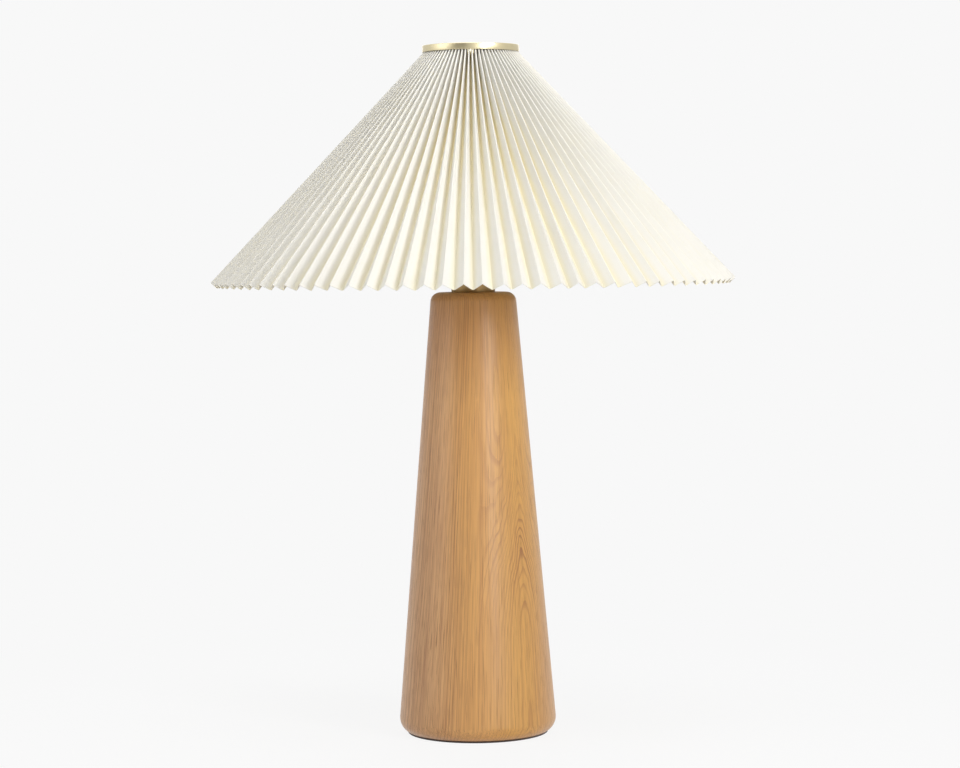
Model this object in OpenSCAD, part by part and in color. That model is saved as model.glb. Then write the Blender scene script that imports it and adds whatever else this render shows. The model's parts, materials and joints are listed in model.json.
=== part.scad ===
// Table lamp: a turned wooden column, a brass neck, and a pleated cone shade
// held on a harp. Millimetres, +Z up, origin at the centre of the foot.
// The front of the lamp faces -Y and its cord leaves at the rear.

/* [Column] */
// Height of the wooden column without its felt pad
column_h = 406.5; // [340:0.5:480]
// Radius at the foot, where the straight side would meet the underside
column_foot_r = 73.5; // [64:0.5:85]
// Radius at the top, where the straight side would meet the top face
column_top_r = 39; // [36:0.5:48]
// Radius of the rounded edge at the top
top_edge_r = 9; // [6:0.5:12]
// Radius of the rounded edge at the foot
foot_edge_r = 14; // [13:0.5:18]
// Height from the underside to where the foot's edge is widest
foot_edge_h = 12; // [8:0.5:12.5]
// Radius of the recess under the column, for the nut and the cord
recess_r = 30; // [24:0.5:40]
// Depth of the recess under the column
recess_h = 28; // [26:0.5:45]
// Thickness of the felt pad
felt_t = 2; // [1:0.5:4]
// Width of the bare wood between the felt and the rounded edge
felt_margin = 0.5; // [0.5:0.5:6]

/* [Cord outlet] */
// Height of the outlet's centre above the underside of the wood
outlet_up = 18; // [15:0.5:20]
// Radius of the passage through the bushing
outlet_bore_r = 3.6; // [2.5:0.1:4.2]
// Wall of the bushing around the passage
bushing_wall = 1.8; // [1.2:0.1:2.2]
// Length of the bushing's sleeve inside the wood
bushing_len = 12; // [6:0.5:25]
// Width of the bushing's flange beyond its sleeve
bushing_flange_w = 1.8; // [1:0.1:2.2]
// Thickness of the bushing's flange
bushing_flange_t = 1.5; // [1:0.1:2.5]

/* [Pipe and nuts] */
// Radius of the threaded pipe
pipe_r = 5; // [4.6:0.1:5.5]
// Radius of the wire passage in the pipe
pipe_bore_r = 3.4; // [2.5:0.1:3.8]
// Length of pipe left below the bottom nut
pipe_tail = 3; // [1:0.5:5]
// Length of pipe above the foot of the socket cap
pipe_in_cap = 6; // [4:0.5:7]
// Width of both nuts across their flats
nut_af = 17; // [15:0.5:20]
// Height of the bottom nut
nut_h = 5; // [3:0.5:7]
// Radius of the bottom washer
washer_r = 16; // [12:0.5:22]
// Thickness of the bottom washer
washer_t = 2; // [1:0.5:3]
// Height of the thin nut above the harp saddle
locknut_h = 3; // [2:0.5:4]

/* [Brass neck] */
// Height of the neck cup
neck_h = 12; // [8:0.5:20]
// Widest radius of the neck cup
neck_r = 21; // [18:0.5:24]
// How much narrower the cup's foot is than its widest part
neck_foot_in = 1; // [0.4:0.1:2]
// Radius of the cup's rounded shoulder
neck_edge_r = 3; // [1:0.5:5]
// Wall of the neck cup
neck_wall = 1.2; // [0.8:0.1:2]

/* [Harp] */
// Height from the saddle's seat to the shoulder that carries the shade
harp_h = 190.5; // [184:0.5:230]
// Distance of each harp leg from the lamp's axis
harp_leg_x = 28; // [26:0.5:32]
// Radius of the harp wire
harp_wire_r = 1.8; // [1.4:0.1:2.2]
// Outward lean of the harp above its legs, in degrees
harp_lean = 38; // [32:1:40]
// Inward lean of the harp below its top bends, in degrees
harp_shoulder = 60; // [56:1:64]
// Bend radius above the legs
harp_foot_bend = 40; // [30:1:46]
// Bend radius beside the pad
harp_top_bend = 15; // [10:1:18]
// Length of the straight run below each top bend
harp_top_run = 12; // [6:1:20]
// Radius of the pressed pad at the top of the harp
harp_pad_r = 8; // [7:0.5:10]
// Thickness of the pressed pad
harp_pad_t = 4.4; // [4.4:0.1:5]
// Thickness of the saddle strip
saddle_t = 1.5; // [1:0.1:2]
// Width of the saddle strip
saddle_w = 12; // [11:0.5:16]
// Inner bend radius of the saddle strip
saddle_bend = 4; // [2:0.5:6]
// Height of the saddle's shoulders above its seat
saddle_shoulder_h = 12; // [9:0.5:16]
// Length of each saddle post let into the saddle strip
post_root = 3; // [2:0.5:5]
// Bare length of a saddle post below its half lap
post_bare = 1; // [0.5:0.5:2]
// Length of the half lap between a saddle post and a harp leg
lap_len = 8; // [5:0.5:9]
// Length of each locking sleeve
sleeve_len = 14; // [12:0.5:18]
// Wall of each locking sleeve
sleeve_wall = 1.2; // [0.8:0.1:1.6]
// Upward travel of each locking sleeve
sleeve_travel = 10; // [10:0.5:12]
// Straight leg left above a raised sleeve
leg_spare = 2; // [1:0.5:4]

/* [Lamp holder] */
// Outer radius of the brass shell
shell_r = 16.5; // [16.3:0.1:18]
// Height of the brass shell
shell_h = 43; // [41:0.5:50]
// Wall of the brass shell and its cap
shell_wall = 0.6; // [0.4:0.1:0.8]
// Radius of the rolled bead on the shell's upper edge
shell_bead_r = 0.9; // [0.7:0.1:1.2]
// Height of the threaded hub under the socket cap
cap_hub_h = 7; // [6:0.5:10]
// Radius of the threaded hub under the socket cap
cap_hub_r = 8.5; // [8:0.5:10]
// Height of the cap's dome
cap_dome_h = 9; // [7:0.5:12]
// Height of the cap's rim around the shell
cap_rim_h = 5; // [3:0.5:6]
// Width of the cap's inner throat beyond the pipe
cap_throat_w = 1; // [0.5:0.1:2]
// Radius of the set screw in the hub
set_screw_r = 1.5; // [1.2:0.1:1.8]
// Thickness of the insulating liner
liner_t = 0.5; // [0.3:0.1:0.6]
// Height of the liner's foot above the shell's lower edge
liner_up = 0.5; // [0.5:0.1:1.5]
// How much shorter the liner is than the shell
liner_short = 2; // [1.5:0.5:4]
// Height of the insulating body's foot above the shell's lower edge
insulator_up = 1; // [0.5:0.5:1.5]
// Height of the insulating body inside the shell
insulator_h = 20; // [18:0.5:20]
// Height of the threaded screw shell
screw_shell_h = 20; // [17:0.5:21]
// Wall of the threaded screw shell
screw_shell_wall = 0.5; // [0.3:0.1:0.8]
// Radius of the hole in the floor of the screw shell
screw_shell_hole_r = 7; // [6:0.5:9]
// Radius of the centre contact's riveted plate
contact_plate_r = 5; // [4:0.5:5.5]
// Thickness of the centre contact's riveted plate
contact_plate_t = 0.8; // [0.5:0.1:1.2]
// Radius of the centre contact's raised tip
contact_r = 2.5; // [2:0.1:3]
// Height of the seated bulb's foot above the insulating body
contact_h = 3; // [2:0.5:4]
// Radius of the head of a terminal screw
terminal_r = 3; // [2.5:0.1:3.5]
// Height of the head of a terminal screw
terminal_h = 1.6; // [1:0.1:2]
// Space between a terminal screw and the foot and the shoulder of its flat
terminal_margin = 2; // [1:0.5:2.5]
// Depth of the flats that hold the terminal screws
terminal_flat = 3.5; // [3:0.1:4.5]

/* [Switch] */
// Height of the switch shaft above the shell's lower edge
switch_up = 11.5; // [10:0.5:13]
// Radius of the switch shaft
switch_shaft_r = 1.8; // [1.4:0.1:2.2]
// Length of the switch shaft inside the insulating body
switch_inside = 10; // [6:0.5:12]
// Space between the shell and the knob
knob_gap = 2; // [1:0.5:4]
// Radius of the turn knob
knob_r = 6.5; // [5:0.5:8]
// Length of the turn knob
knob_len = 13; // [9:0.5:18]
// Plain length at the knob's foot, below its flutes
knob_plain = 2; // [1:0.5:4]
// Number of flutes round the knob
knob_flutes = 12; // [8:1:16]
// Radius of one flute
knob_flute_r = 1; // [0.6:0.1:1.2]

/* [Bulb] */
// Radius of the glass
bulb_r = 30; // [27:0.5:31]
// Length from the contact to the top of the glass
bulb_len = 108; // [100:1:112]
// Radius of the contact under the bulb
bulb_contact_r = 4; // [3:0.5:5]
// Thickness of the contact under the bulb
bulb_contact_h = 1.2; // [0.8:0.1:2]
// Upper radius of the glass insulator under the screw cap
bulb_insulator_r = 11.4; // [10.5:0.1:12]
// How much wider the insulator's foot is than the contact
bulb_insulator_w = 1; // [0.5:0.5:2]
// Height of the glass insulator
bulb_insulator_h = 3; // [2:0.5:4]
// Width of the lip that the screw cap turns in over the insulator
bulb_lip_w = 2; // [1:0.5:3]
// Height of the slope at the foot of the screw cap
bulb_slope_h = 2; // [1:0.5:3]
// Radius of the bulb's screw cap
bulb_cap_r = 12.9; // [12.6:0.1:13]
// Height of the screw cap above its insulator
bulb_cap_h = 21; // [19:0.5:24]
// Wall of the screw cap
bulb_cap_wall = 0.4; // [0.3:0.1:0.6]
// Radius of the glass neck above the cap
bulb_neck_r = 13.2; // [13.1:0.1:14.5]
// Radius of the hollow curve between the neck and the ball
bulb_neck_bend = 45; // [35:1:50]
// Length of the glass sleeve cemented into the screw cap
glass_sleeve_len = 8; // [6:0.5:12]
// Radius of the glass stem
stem_r = 4; // [3:0.5:6]
// Height of the flared foot of the stem
stem_flare_h = 5; // [3:0.5:8]
// Height of the stem's top above the screw cap
stem_up = 20; // [12:1:28]
// Distance of each lead from the bulb's axis where it leaves the stem
lead_foot_x = 2.5; // [1.5:0.5:3]
// Distance of each lead's end from the bulb's axis
lead_top_x = 12; // [8:0.5:18]
// Radius of a lead
lead_r = 0.6; // [0.4:0.1:1]
// Radius of the lit part between the leads
lit_r = 1.2; // [1:0.1:2]
// How far the lit part runs past each lead
lit_past = 0.5; // [0.2:0.1:1]
// Wall of the glass
glass_t = 0.8; // [0.5:0.1:1.2]

/* [Shade] */
// Radius of the outer folds at the lower rim
shade_r = 241.3; // [200:0.1:260]
// Height from the outer folds at the rim to the ring's lower edge
shade_h = 209; // [180:0.5:240]
// Number of pleats
pleat_n = 90; // [72:6:90]
// Width of one face of a pleat
pleat_face = 11.2; // [10.5:0.1:13]
// Thickness of the pleated sheet
sheet_t = 0.5; // [0.4:0.05:0.55]
// Outer radius of the brass ring
ring_r = 44.5; // [44:0.5:55]
// Height of the brass ring
ring_h = 6; // [5:0.5:8]
// Wall of the brass ring
ring_wall = 0.8; // [0.6:0.1:1.2]
// Width of the brass ring's top flange
ring_flange = 7.5; // [6:0.5:9]
// Radius of the frame wire
wire_r = 1.5; // [1:0.1:1.5]
// Number of ribs in the wire frame
rib_n = 6; // [3:3:6]
// Distance from the pleats' top edge down to the upper wire ring
upper_wire_down = 5; // [4:0.5:8]
// Distance from the pleats' lower edge up to the lower wire ring
lower_wire_up = 28; // [15:1:60]

/* [Spider and finial] */
// Depth of the hub's underside below the top of the ring
hub_recess = 22.3; // [21.5:0.1:25]
// Radius of the hub
hub_r = 11; // [10:0.5:13]
// Thickness of the hub
hub_t = 4; // [3.5:0.5:5]
// Angle of the first spider arm, in degrees
arm_start = 90; // [0:5:120]
// Length of each arm let into the hub
arm_root = 2; // [1:0.5:4]
// Number of spider arms
arm_n = 3; // [3:3:6]
// Radius of the threaded stud
stud_r = 3.1; // [2.8:0.1:3.4]
// Radius of the stud's shoulder, which the hub rests on
stud_shoulder_r = 7.5; // [6:0.5:9]
// Thickness of the stud's shoulder
stud_shoulder_t = 1.5; // [1:0.1:2.5]
// Radius of the stud's rivet through the pad
rivet_r = 2.2; // [1.6:0.1:2.6]
// Radius of the rivet's head under the pad
rivet_head_r = 4; // [3.4:0.1:5]
// Thickness of the rivet's head
rivet_head_t = 1.2; // [0.8:0.1:2]
// Height of the finial
finial_h = 17; // [15:0.5:18]
// Radius of the finial's ball
finial_ball_r = 6.5; // [5.5:0.5:7]
// Radius of the finial's foot
finial_foot_r = 8; // [7:0.5:9]
// Radius of the finial's waist
finial_waist_r = 4.6; // [4.3:0.1:5]
// Thickness of the finial's foot
finial_foot_t = 1.2; // [0.8:0.1:2]
// Space between the stud's tip and the end of the finial's hole
stud_spare = 1; // [0.5:0.1:2]
// Depth of the threaded hole in the finial
finial_bore_h = 9.5; // [8:0.5:11]

/* [Fits] */
// Radial gap of a turning or sliding fit
run_gap = 0.08; // [0.04:0.01:0.1]
// Gap between a piece and the seat that carries it
seat_gap = 0.2; // [0.1:0.05:0.3]
// Radial gap of the pipe in the wood and the plates it passes through
pass_gap = 0.4; // [0.2:0.1:0.8]

/* [Hidden] */
$fn = 96;
wire_fn = 32;
// How far a cutting shape runs past the face that it opens.
cut = 1;

// Levels above the table, worked out from the foot upwards.
column_z = felt_t;
column_top_z = column_z + column_h;
recess_top_z = column_z + recess_h;
outlet_z = column_z + outlet_up;
nut_z = recess_top_z - washer_t - nut_h;
pipe_z = nut_z - pipe_tail;
neck_top_z = column_top_z + neck_h;
saddle_seat_z = neck_top_z + saddle_t;
locknut_top_z = saddle_seat_z + locknut_h;
cap_z = locknut_top_z;
shell_z = cap_z + cap_hub_h + cap_dome_h;
shell_top_z = shell_z + shell_h;
insulator_z = shell_z + insulator_up;
insulator_top_z = insulator_z + insulator_h;
switch_z = shell_z + switch_up;
bulb_z = insulator_top_z + contact_h;
shoulder_z = saddle_seat_z + saddle_shoulder_h;
lap_z = shoulder_z + post_bare;
leg_top_z = shoulder_z + seat_gap + sleeve_len + sleeve_travel + leg_spare;
stud_seat_z = saddle_seat_z + harp_h;
pad_z = stud_seat_z - stud_shoulder_t - harp_pad_t;
hub_z = stud_seat_z + seat_gap;
finial_z = hub_z + hub_t + seat_gap;
ring_top_z = hub_z + hub_recess;
ring_z = ring_top_z - ring_h;

wood_colour = [0.78, 0.60, 0.38];
felt_colour = [0.16, 0.12, 0.11];
brass_colour = [0.78, 0.70, 0.48];
dull_brass_colour = [0.66, 0.55, 0.32];
steel_colour = [0.72, 0.72, 0.70];
black_colour = [0.10, 0.10, 0.10];
card_colour = [0.45, 0.33, 0.22];
opal_colour = [0.96, 0.96, 0.93];
shade_colour = [0.96, 0.94, 0.86];

// Points of an arc from angle a to angle b.
function arc(cx, cy, r, a, b, step = 10) =
    let (n = max(2, ceil(abs(b - a) / step)))
    [for (i = [0 : n]) [cx + r * cos(a + (b - a) * i / n), cy + r * sin(a + (b - a) * i / n)]];

// Straight round bar from one point to another.
module bar(from, to, r, fn = wire_fn) {
    d = to - from;
    translate(from)
        rotate([0, acos(d.z / norm(d)), atan2(d.y, d.x)])
            cylinder(r = r, h = norm(d), $fn = fn);
}

// Bent round bar in the XZ plane, round [cx, cz] from angle a to angle b.
module bend(cx, cz, r_bend, a, b, r) {
    translate([cx, 0, cz])
        rotate([90, 0, 0])
            rotate([0, 0, a])
                rotate_extrude(angle = b - a)
                    translate([r_bend, 0]) circle(r = r, $fn = wire_fn);
}

// Closed wire ring of radius r_ring at height z.
module wire_ring(r_ring, z, r) {
    translate([0, 0, z]) rotate_extrude() translate([r_ring, 0]) circle(r = r, $fn = wire_fn);
}

// Puts what is drawn along +Z onto an axis that runs to the rear.
module to_rear(y, z) {
    translate([0, y, z]) rotate([-90, 0, 0]) children();
}

// Puts what is drawn along +Z onto an axis that runs to the front.
module to_front(y, z) {
    translate([0, y, z]) rotate([90, 0, 0]) children();
}

// Hexagonal nut with its threaded hole, its foot at height z.
module hex_nut(z, h) {
    translate([0, 0, z])
        difference() {
            cylinder(r = nut_af / 2 / cos(30), h = h, $fn = 6);
            translate([0, 0, -cut]) cylinder(r = pipe_r + run_gap, h = h + 2 * cut);
        }
}

// Wooden column and what closes its foot

taper = atan((column_foot_r - column_top_r) / column_h);
bushing_r = outlet_bore_r + bushing_wall;
bushing_flange_r = bushing_r + bushing_flange_w;
outlet_flat_r = bushing_flange_r + pass_gap;

// Radius of the column's straight side at height z.
function column_r(z) = column_foot_r - (z - column_z) * tan(taper);

// Radius at which the centre of an edge of radius r stands, at height z.
function edge_centre_r(z, r) = column_r(z) - r / cos(taper);

foot_arc_z = column_z + foot_edge_h;
foot_arc_r = edge_centre_r(foot_arc_z, foot_edge_r);
top_arc_z = column_top_z - top_edge_r;
top_arc_r = edge_centre_r(top_arc_z, top_edge_r);
// The foot's edge stops short of level, so the underside begins at a corner of this radius.
underside_r = foot_arc_r + sqrt(pow(foot_edge_r, 2) - pow(foot_edge_h, 2));

// Rear position of the flat that is cut round the cord outlet.
outlet_flat_y = sqrt(pow(column_r(outlet_z + outlet_flat_r), 2) - pow(outlet_flat_r, 2)) - seat_gap;

module felt_pad() {
    color(felt_colour) cylinder(r = underside_r - felt_margin, h = felt_t);
}

module wood_column() {
    outline = concat(
        [[0, column_z]],
        arc(foot_arc_r, foot_arc_z, foot_edge_r, -asin(foot_edge_h / foot_edge_r), taper),
        arc(top_arc_r, top_arc_z, top_edge_r, taper, 90),
        [[0, column_top_z]]
    );
    color(wood_colour)
        difference() {
            rotate_extrude() polygon(outline);
            translate([0, 0, column_z]) cylinder(r = pipe_r + pass_gap, h = column_h + cut);
            translate([0, 0, column_z - cut]) cylinder(r = recess_r, h = recess_h + cut);
            to_rear(0, outlet_z) cylinder(r = bushing_r + run_gap, h = column_foot_r);
            to_rear(outlet_flat_y, outlet_z) cylinder(r = outlet_flat_r, h = foot_edge_r);
        }
}

module cord_bushing() {
    color(dull_brass_colour)
        to_rear(outlet_flat_y, outlet_z)
            difference() {
                union() {
                    cylinder(r = bushing_flange_r, h = bushing_flange_t);
                    translate([0, 0, -bushing_len]) cylinder(r = bushing_r, h = bushing_len);
                }
                translate([0, 0, -bushing_len - cut])
                    cylinder(r = outlet_bore_r, h = bushing_len + bushing_flange_t + 2 * cut);
            }
}

module bottom_washer() {
    color(steel_colour)
        translate([0, 0, recess_top_z - washer_t])
            difference() {
                cylinder(r = washer_r, h = washer_t);
                translate([0, 0, -cut]) cylinder(r = pipe_r + pass_gap, h = washer_t + 2 * cut);
            }
}

module bottom_nut() {
    color(steel_colour) hex_nut(nut_z, nut_h);
}

module threaded_pipe() {
    pipe_len = cap_z + pipe_in_cap - pipe_z;
    color(steel_colour)
        translate([0, 0, pipe_z])
            difference() {
                cylinder(r = pipe_r, h = pipe_len);
                translate([0, 0, -cut]) cylinder(r = pipe_bore_r, h = pipe_len + 2 * cut);
            }
}

// Brass neck

// Half outline of the cup, drawn in by the given inset, from its foot to its shoulder.
function neck_outline(inset) =
    let (edge = max(neck_edge_r - inset, 0.4), r = neck_r - inset, h = neck_h - inset)
    concat([[r - neck_foot_in, 0]], arc(r - edge, h - edge, edge, 0, 90));

module neck_cup() {
    outer = neck_outline(0);
    inner = neck_outline(neck_wall);
    hole_r = pipe_r + pass_gap;
    outline = concat(
        outer,
        [[hole_r, neck_h], [hole_r, neck_h - neck_wall]],
        [for (i = [len(inner) - 1 : -1 : 0]) inner[i]]
    );
    color(brass_colour) translate([0, 0, column_top_z]) rotate_extrude() polygon(outline);
}

// Harp and its saddle

strip_x = harp_leg_x + saddle_t / 2;

// Half outline of the saddle strip on +X, its underside first.
function saddle_half() =
    let (out_r = saddle_bend + saddle_t, cx = strip_x - out_r, cz = neck_top_z + out_r)
    concat(
        arc(cx, cz, out_r, -90, 0),
        [[strip_x, shoulder_z], [strip_x - saddle_t, shoulder_z]],
        arc(cx, cz, saddle_bend, 0, -90)
    );

function mirrored(points) =
    [for (i = [len(points) - 1 : -1 : 0]) [-points[i].x, points[i].y]];

// Keeps the half of the child on the +X or the -X side of a leg's axis.
module lap_half(x, side) {
    w = 2 * harp_wire_r;
    intersection() {
        children();
        translate([side > 0 ? x : x - w, -w, lap_z]) cube([w, 2 * w, lap_len]);
    }
}

module harp_saddle() {
    post_z = shoulder_z - post_root;
    color(brass_colour)
        difference() {
            union() {
                translate([0, saddle_w / 2, 0])
                    rotate([90, 0, 0])
                        linear_extrude(saddle_w)
                            polygon(concat(saddle_half(), mirrored(saddle_half())));
                for (side = [-1, 1]) {
                    x = side * harp_leg_x;
                    translate([x, 0, post_z]) cylinder(r = harp_wire_r, h = lap_z - post_z, $fn = wire_fn);
                    lap_half(x, -side)
                        translate([x, 0, post_z])
                            cylinder(r = harp_wire_r, h = lap_z + lap_len - post_z, $fn = wire_fn);
                }
            }
            translate([0, 0, neck_top_z - cut])
                cylinder(r = pipe_r + pass_gap, h = saddle_t + 2 * cut);
        }
}

module saddle_locknut() {
    color(brass_colour) hex_nut(saddle_seat_z, locknut_h);
}

// The harp's side is an arc between two straight runs. Its radius and the length of
// the lower run follow from where the wire leaves the leg and where it meets the pad.
joint_extra = 0.04;
wire_z = pad_z + harp_pad_t / 2;
foot_x = harp_leg_x + harp_foot_bend * (1 - cos(harp_lean));
foot_z = leg_top_z + harp_foot_bend * sin(harp_lean);
pad_x = harp_pad_r - harp_wire_r;
top_x = pad_x + harp_top_bend * cos(harp_shoulder);
top_z = wire_z - harp_top_bend * (1 - sin(harp_shoulder));
side_x = top_x + harp_top_run * sin(harp_shoulder);
side_z = top_z - harp_top_run * cos(harp_shoulder);
turn_x = cos(harp_shoulder) - cos(harp_lean);
turn_z = sin(harp_shoulder) + sin(harp_lean);
turn_det = turn_z * sin(harp_lean) - turn_x * cos(harp_lean);
side_r = ((side_z - foot_z) * sin(harp_lean) - (side_x - foot_x) * cos(harp_lean)) / turn_det;
lower_run = ((side_x - foot_x) * turn_z - (side_z - foot_z) * turn_x) / turn_det;
run_x = foot_x + lower_run * sin(harp_lean);
run_z = foot_z + lower_run * cos(harp_lean);

// Ball a hair larger than the wire, which closes the joint of a straight run and a bend.
module wire_joint(x, z) {
    translate([x, 0, z]) sphere(r = harp_wire_r + joint_extra);
}

// One side of the harp on +X, from the top of the half lap to the pad.
module harp_side() {
    wire_joint(harp_leg_x, leg_top_z);
    wire_joint(foot_x, foot_z);
    wire_joint(run_x, run_z);
    wire_joint(side_x, side_z);
    wire_joint(top_x, top_z);
    bar([harp_leg_x, 0, lap_z + lap_len], [harp_leg_x, 0, leg_top_z], harp_wire_r);
    bend(harp_leg_x + harp_foot_bend, leg_top_z, harp_foot_bend, 180 - harp_lean, 180, harp_wire_r);
    bar([foot_x, 0, foot_z], [run_x, 0, run_z], harp_wire_r);
    bend(run_x - side_r * cos(harp_lean), run_z + side_r * sin(harp_lean), side_r,
        -harp_lean, harp_shoulder, harp_wire_r);
    bar([side_x, 0, side_z], [top_x, 0, top_z], harp_wire_r);
    bend(pad_x, wire_z - harp_top_bend, harp_top_bend, harp_shoulder, 90, harp_wire_r);
    lap_half(harp_leg_x, 1)
        translate([harp_leg_x, 0, lap_z]) cylinder(r = harp_wire_r, h = lap_len, $fn = wire_fn);
}

module harp() {
    color(brass_colour)
        difference() {
            union() {
                harp_side();
                mirror([1, 0, 0]) harp_side();
                translate([0, 0, pad_z]) cylinder(r = harp_pad_r, h = harp_pad_t);
            }
            translate([0, 0, pad_z - cut])
                cylinder(r = rivet_r + run_gap, h = harp_pad_t + 2 * cut);
        }
}

module harp_stud() {
    stud_len = finial_z + finial_bore_h - stud_spare - stud_seat_z;
    color(brass_colour) {
        translate([0, 0, stud_seat_z]) cylinder(r = stud_r, h = stud_len);
        translate([0, 0, stud_seat_z - stud_shoulder_t])
            cylinder(r = stud_shoulder_r, h = stud_shoulder_t);
        translate([0, 0, pad_z]) cylinder(r = rivet_r, h = harp_pad_t);
        translate([0, 0, pad_z - rivet_head_t]) cylinder(r = rivet_head_r, h = rivet_head_t);
    }
}

module harp_sleeve(side) {
    color(brass_colour)
        translate([side * harp_leg_x, 0, shoulder_z + seat_gap])
            difference() {
                cylinder(r = harp_wire_r + run_gap + sleeve_wall, h = sleeve_len);
                translate([0, 0, -cut])
                    cylinder(r = harp_wire_r + run_gap, h = sleeve_len + 2 * cut);
            }
}

module harp_sleeve_left() {
    harp_sleeve(-1);
}

module harp_sleeve_right() {
    harp_sleeve(1);
}

// Lamp holder

cap_r = shell_r + run_gap + shell_wall;
cap_seat_r = shell_r - shell_wall;
liner_r = shell_r - shell_wall - run_gap;
insulator_r = liner_r - liner_t - seat_gap;
cap_throat_r = pipe_r + cap_throat_w;
switch_slot_r = switch_shaft_r + seat_gap;

// Quarter of an oval from the hub out to the rim, for the cap's dome.
function dome(r_hub, r_rim, z_hub, z_rim) =
    [for (a = [0 : 10 : 90])
        [r_hub + (r_rim - r_hub) * sin(a), z_hub + (z_rim - z_hub) * (1 - cos(a))]];

module socket_cap() {
    rim_z = cap_hub_h + cap_dome_h;
    inner = dome(cap_throat_r, cap_seat_r, cap_hub_h + shell_wall, rim_z);
    outline = concat(
        [[pipe_r + run_gap, 0], [cap_hub_r, 0]],
        dome(cap_hub_r, cap_r, cap_hub_h, rim_z),
        [[cap_r, rim_z + cap_rim_h], [shell_r + run_gap, rim_z + cap_rim_h],
         [shell_r + run_gap, rim_z]],
        [for (i = [len(inner) - 1 : -1 : 0]) inner[i]],
        [[pipe_r + run_gap, cap_hub_h + shell_wall]]
    );
    color(brass_colour)
        translate([0, 0, cap_z])
            difference() {
                rotate_extrude() polygon(outline);
                to_rear(0, cap_hub_h / 2) cylinder(r = set_screw_r + run_gap, h = cap_r, $fn = wire_fn);
            }
}

module cap_set_screw() {
    color(steel_colour)
        to_rear(pipe_r + seat_gap, cap_z + cap_hub_h / 2)
            cylinder(r = set_screw_r, h = cap_hub_r - pipe_r, $fn = wire_fn);
}

// Slot from the lower edge of the shell up to the switch shaft, open to the front.
module switch_slot() {
    slot_len = shell_r + cut;
    to_front(0, switch_z) cylinder(r = switch_slot_r, h = slot_len, $fn = wire_fn);
    translate([-switch_slot_r, -slot_len, shell_z - cut])
        cube([2 * switch_slot_r, slot_len, switch_up + cut]);
}

module socket_shell() {
    color(brass_colour)
        difference() {
            translate([0, 0, shell_z])
                rotate_extrude()
                    union() {
                        translate([cap_seat_r, 0]) square([shell_wall, shell_h]);
                        translate([shell_r, shell_h - shell_bead_r])
                            circle(r = shell_bead_r, $fn = wire_fn);
                    }
            translate([0, 0, shell_z - cut]) cylinder(r = cap_seat_r, h = shell_h + 2 * cut);
            switch_slot();
        }
}

module socket_liner() {
    liner_z = shell_z + liner_up;
    liner_h = shell_h - liner_short;
    color(card_colour)
        difference() {
            translate([0, 0, liner_z]) cylinder(r = liner_r, h = liner_h);
            translate([0, 0, liner_z - cut]) cylinder(r = liner_r - liner_t, h = liner_h + 2 * cut);
            switch_slot();
        }
}

module socket_insulator() {
    flat_x = insulator_r - terminal_flat;
    color(black_colour)
        difference() {
            translate([0, 0, insulator_z]) cylinder(r = insulator_r, h = insulator_h);
            for (side = [-1, 1])
                translate([side > 0 ? flat_x : -flat_x - insulator_r, -insulator_r, insulator_z - cut])
                    cube([insulator_r, 2 * insulator_r, 2 * (terminal_r + terminal_margin) + cut]);
            to_front(switch_inside - insulator_r, switch_z)
                cylinder(r = switch_shaft_r + run_gap, h = switch_inside + cut, $fn = wire_fn);
        }
}

// Height of the terminal screws' axes.
terminal_z = insulator_z + terminal_margin + terminal_r;

module terminal_screws() {
    flat_x = insulator_r - terminal_flat;
    color(brass_colour)
        for (side = [-1, 1])
            translate([side * flat_x, 0, terminal_z])
                rotate([0, side * 90, 0])
                    cylinder(r = terminal_r, h = terminal_h, $fn = wire_fn);
}

module screw_shell() {
    color(dull_brass_colour)
        translate([0, 0, insulator_top_z])
            difference() {
                cylinder(r = bulb_cap_r + run_gap + screw_shell_wall, h = screw_shell_h);
                translate([0, 0, screw_shell_wall])
                    cylinder(r = bulb_cap_r + run_gap, h = screw_shell_h);
                translate([0, 0, -cut]) cylinder(r = screw_shell_hole_r, h = 2 * cut);
            }
}

module centre_contact() {
    color(brass_colour) {
        translate([0, 0, insulator_top_z]) cylinder(r = contact_plate_r, h = contact_plate_t);
        translate([0, 0, insulator_top_z]) cylinder(r = contact_r, h = contact_h - seat_gap);
    }
}

// Switch shaft and knob, which turn together

knob_y = -(shell_r + knob_gap);

module switch_shaft() {
    shaft_y = switch_inside - insulator_r - seat_gap;
    color(brass_colour)
        to_front(shaft_y, switch_z)
            cylinder(r = switch_shaft_r, h = shaft_y - knob_y, $fn = wire_fn);
}

module switch_knob() {
    color(black_colour)
        to_front(knob_y, switch_z)
            difference() {
                cylinder(r = knob_r, h = knob_len);
                for (i = [0 : knob_flutes - 1])
                    rotate([0, 0, i * 360 / knob_flutes])
                        translate([knob_r + knob_flute_r / 2, 0, knob_plain])
                            cylinder(r = knob_flute_r, h = knob_len, $fn = 24);
            }
}

// Bulb

bulb_cap_z = bulb_z + bulb_contact_h + bulb_insulator_h;
bulb_cap_top_z = bulb_cap_z + bulb_cap_h;
ball_z = bulb_z + bulb_len - bulb_r;
neck_bend_x = bulb_neck_r + bulb_neck_bend;
neck_bend_z = ball_z - sqrt(pow(bulb_r + bulb_neck_bend, 2) - pow(neck_bend_x, 2));
neck_turn = asin((ball_z - neck_bend_z) / (bulb_r + bulb_neck_bend));

// Half outline of the glass from its neck to its top, drawn in by the given inset.
function glass_outline(inset) = concat(
    arc(neck_bend_x, neck_bend_z, bulb_neck_bend + inset, 180, 180 - neck_turn),
    arc(0, ball_z, bulb_r - inset, -neck_turn, 90)
);

module bulb_contact() {
    color(steel_colour) translate([0, 0, bulb_z]) cylinder(r = bulb_contact_r, h = bulb_contact_h);
}

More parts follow.
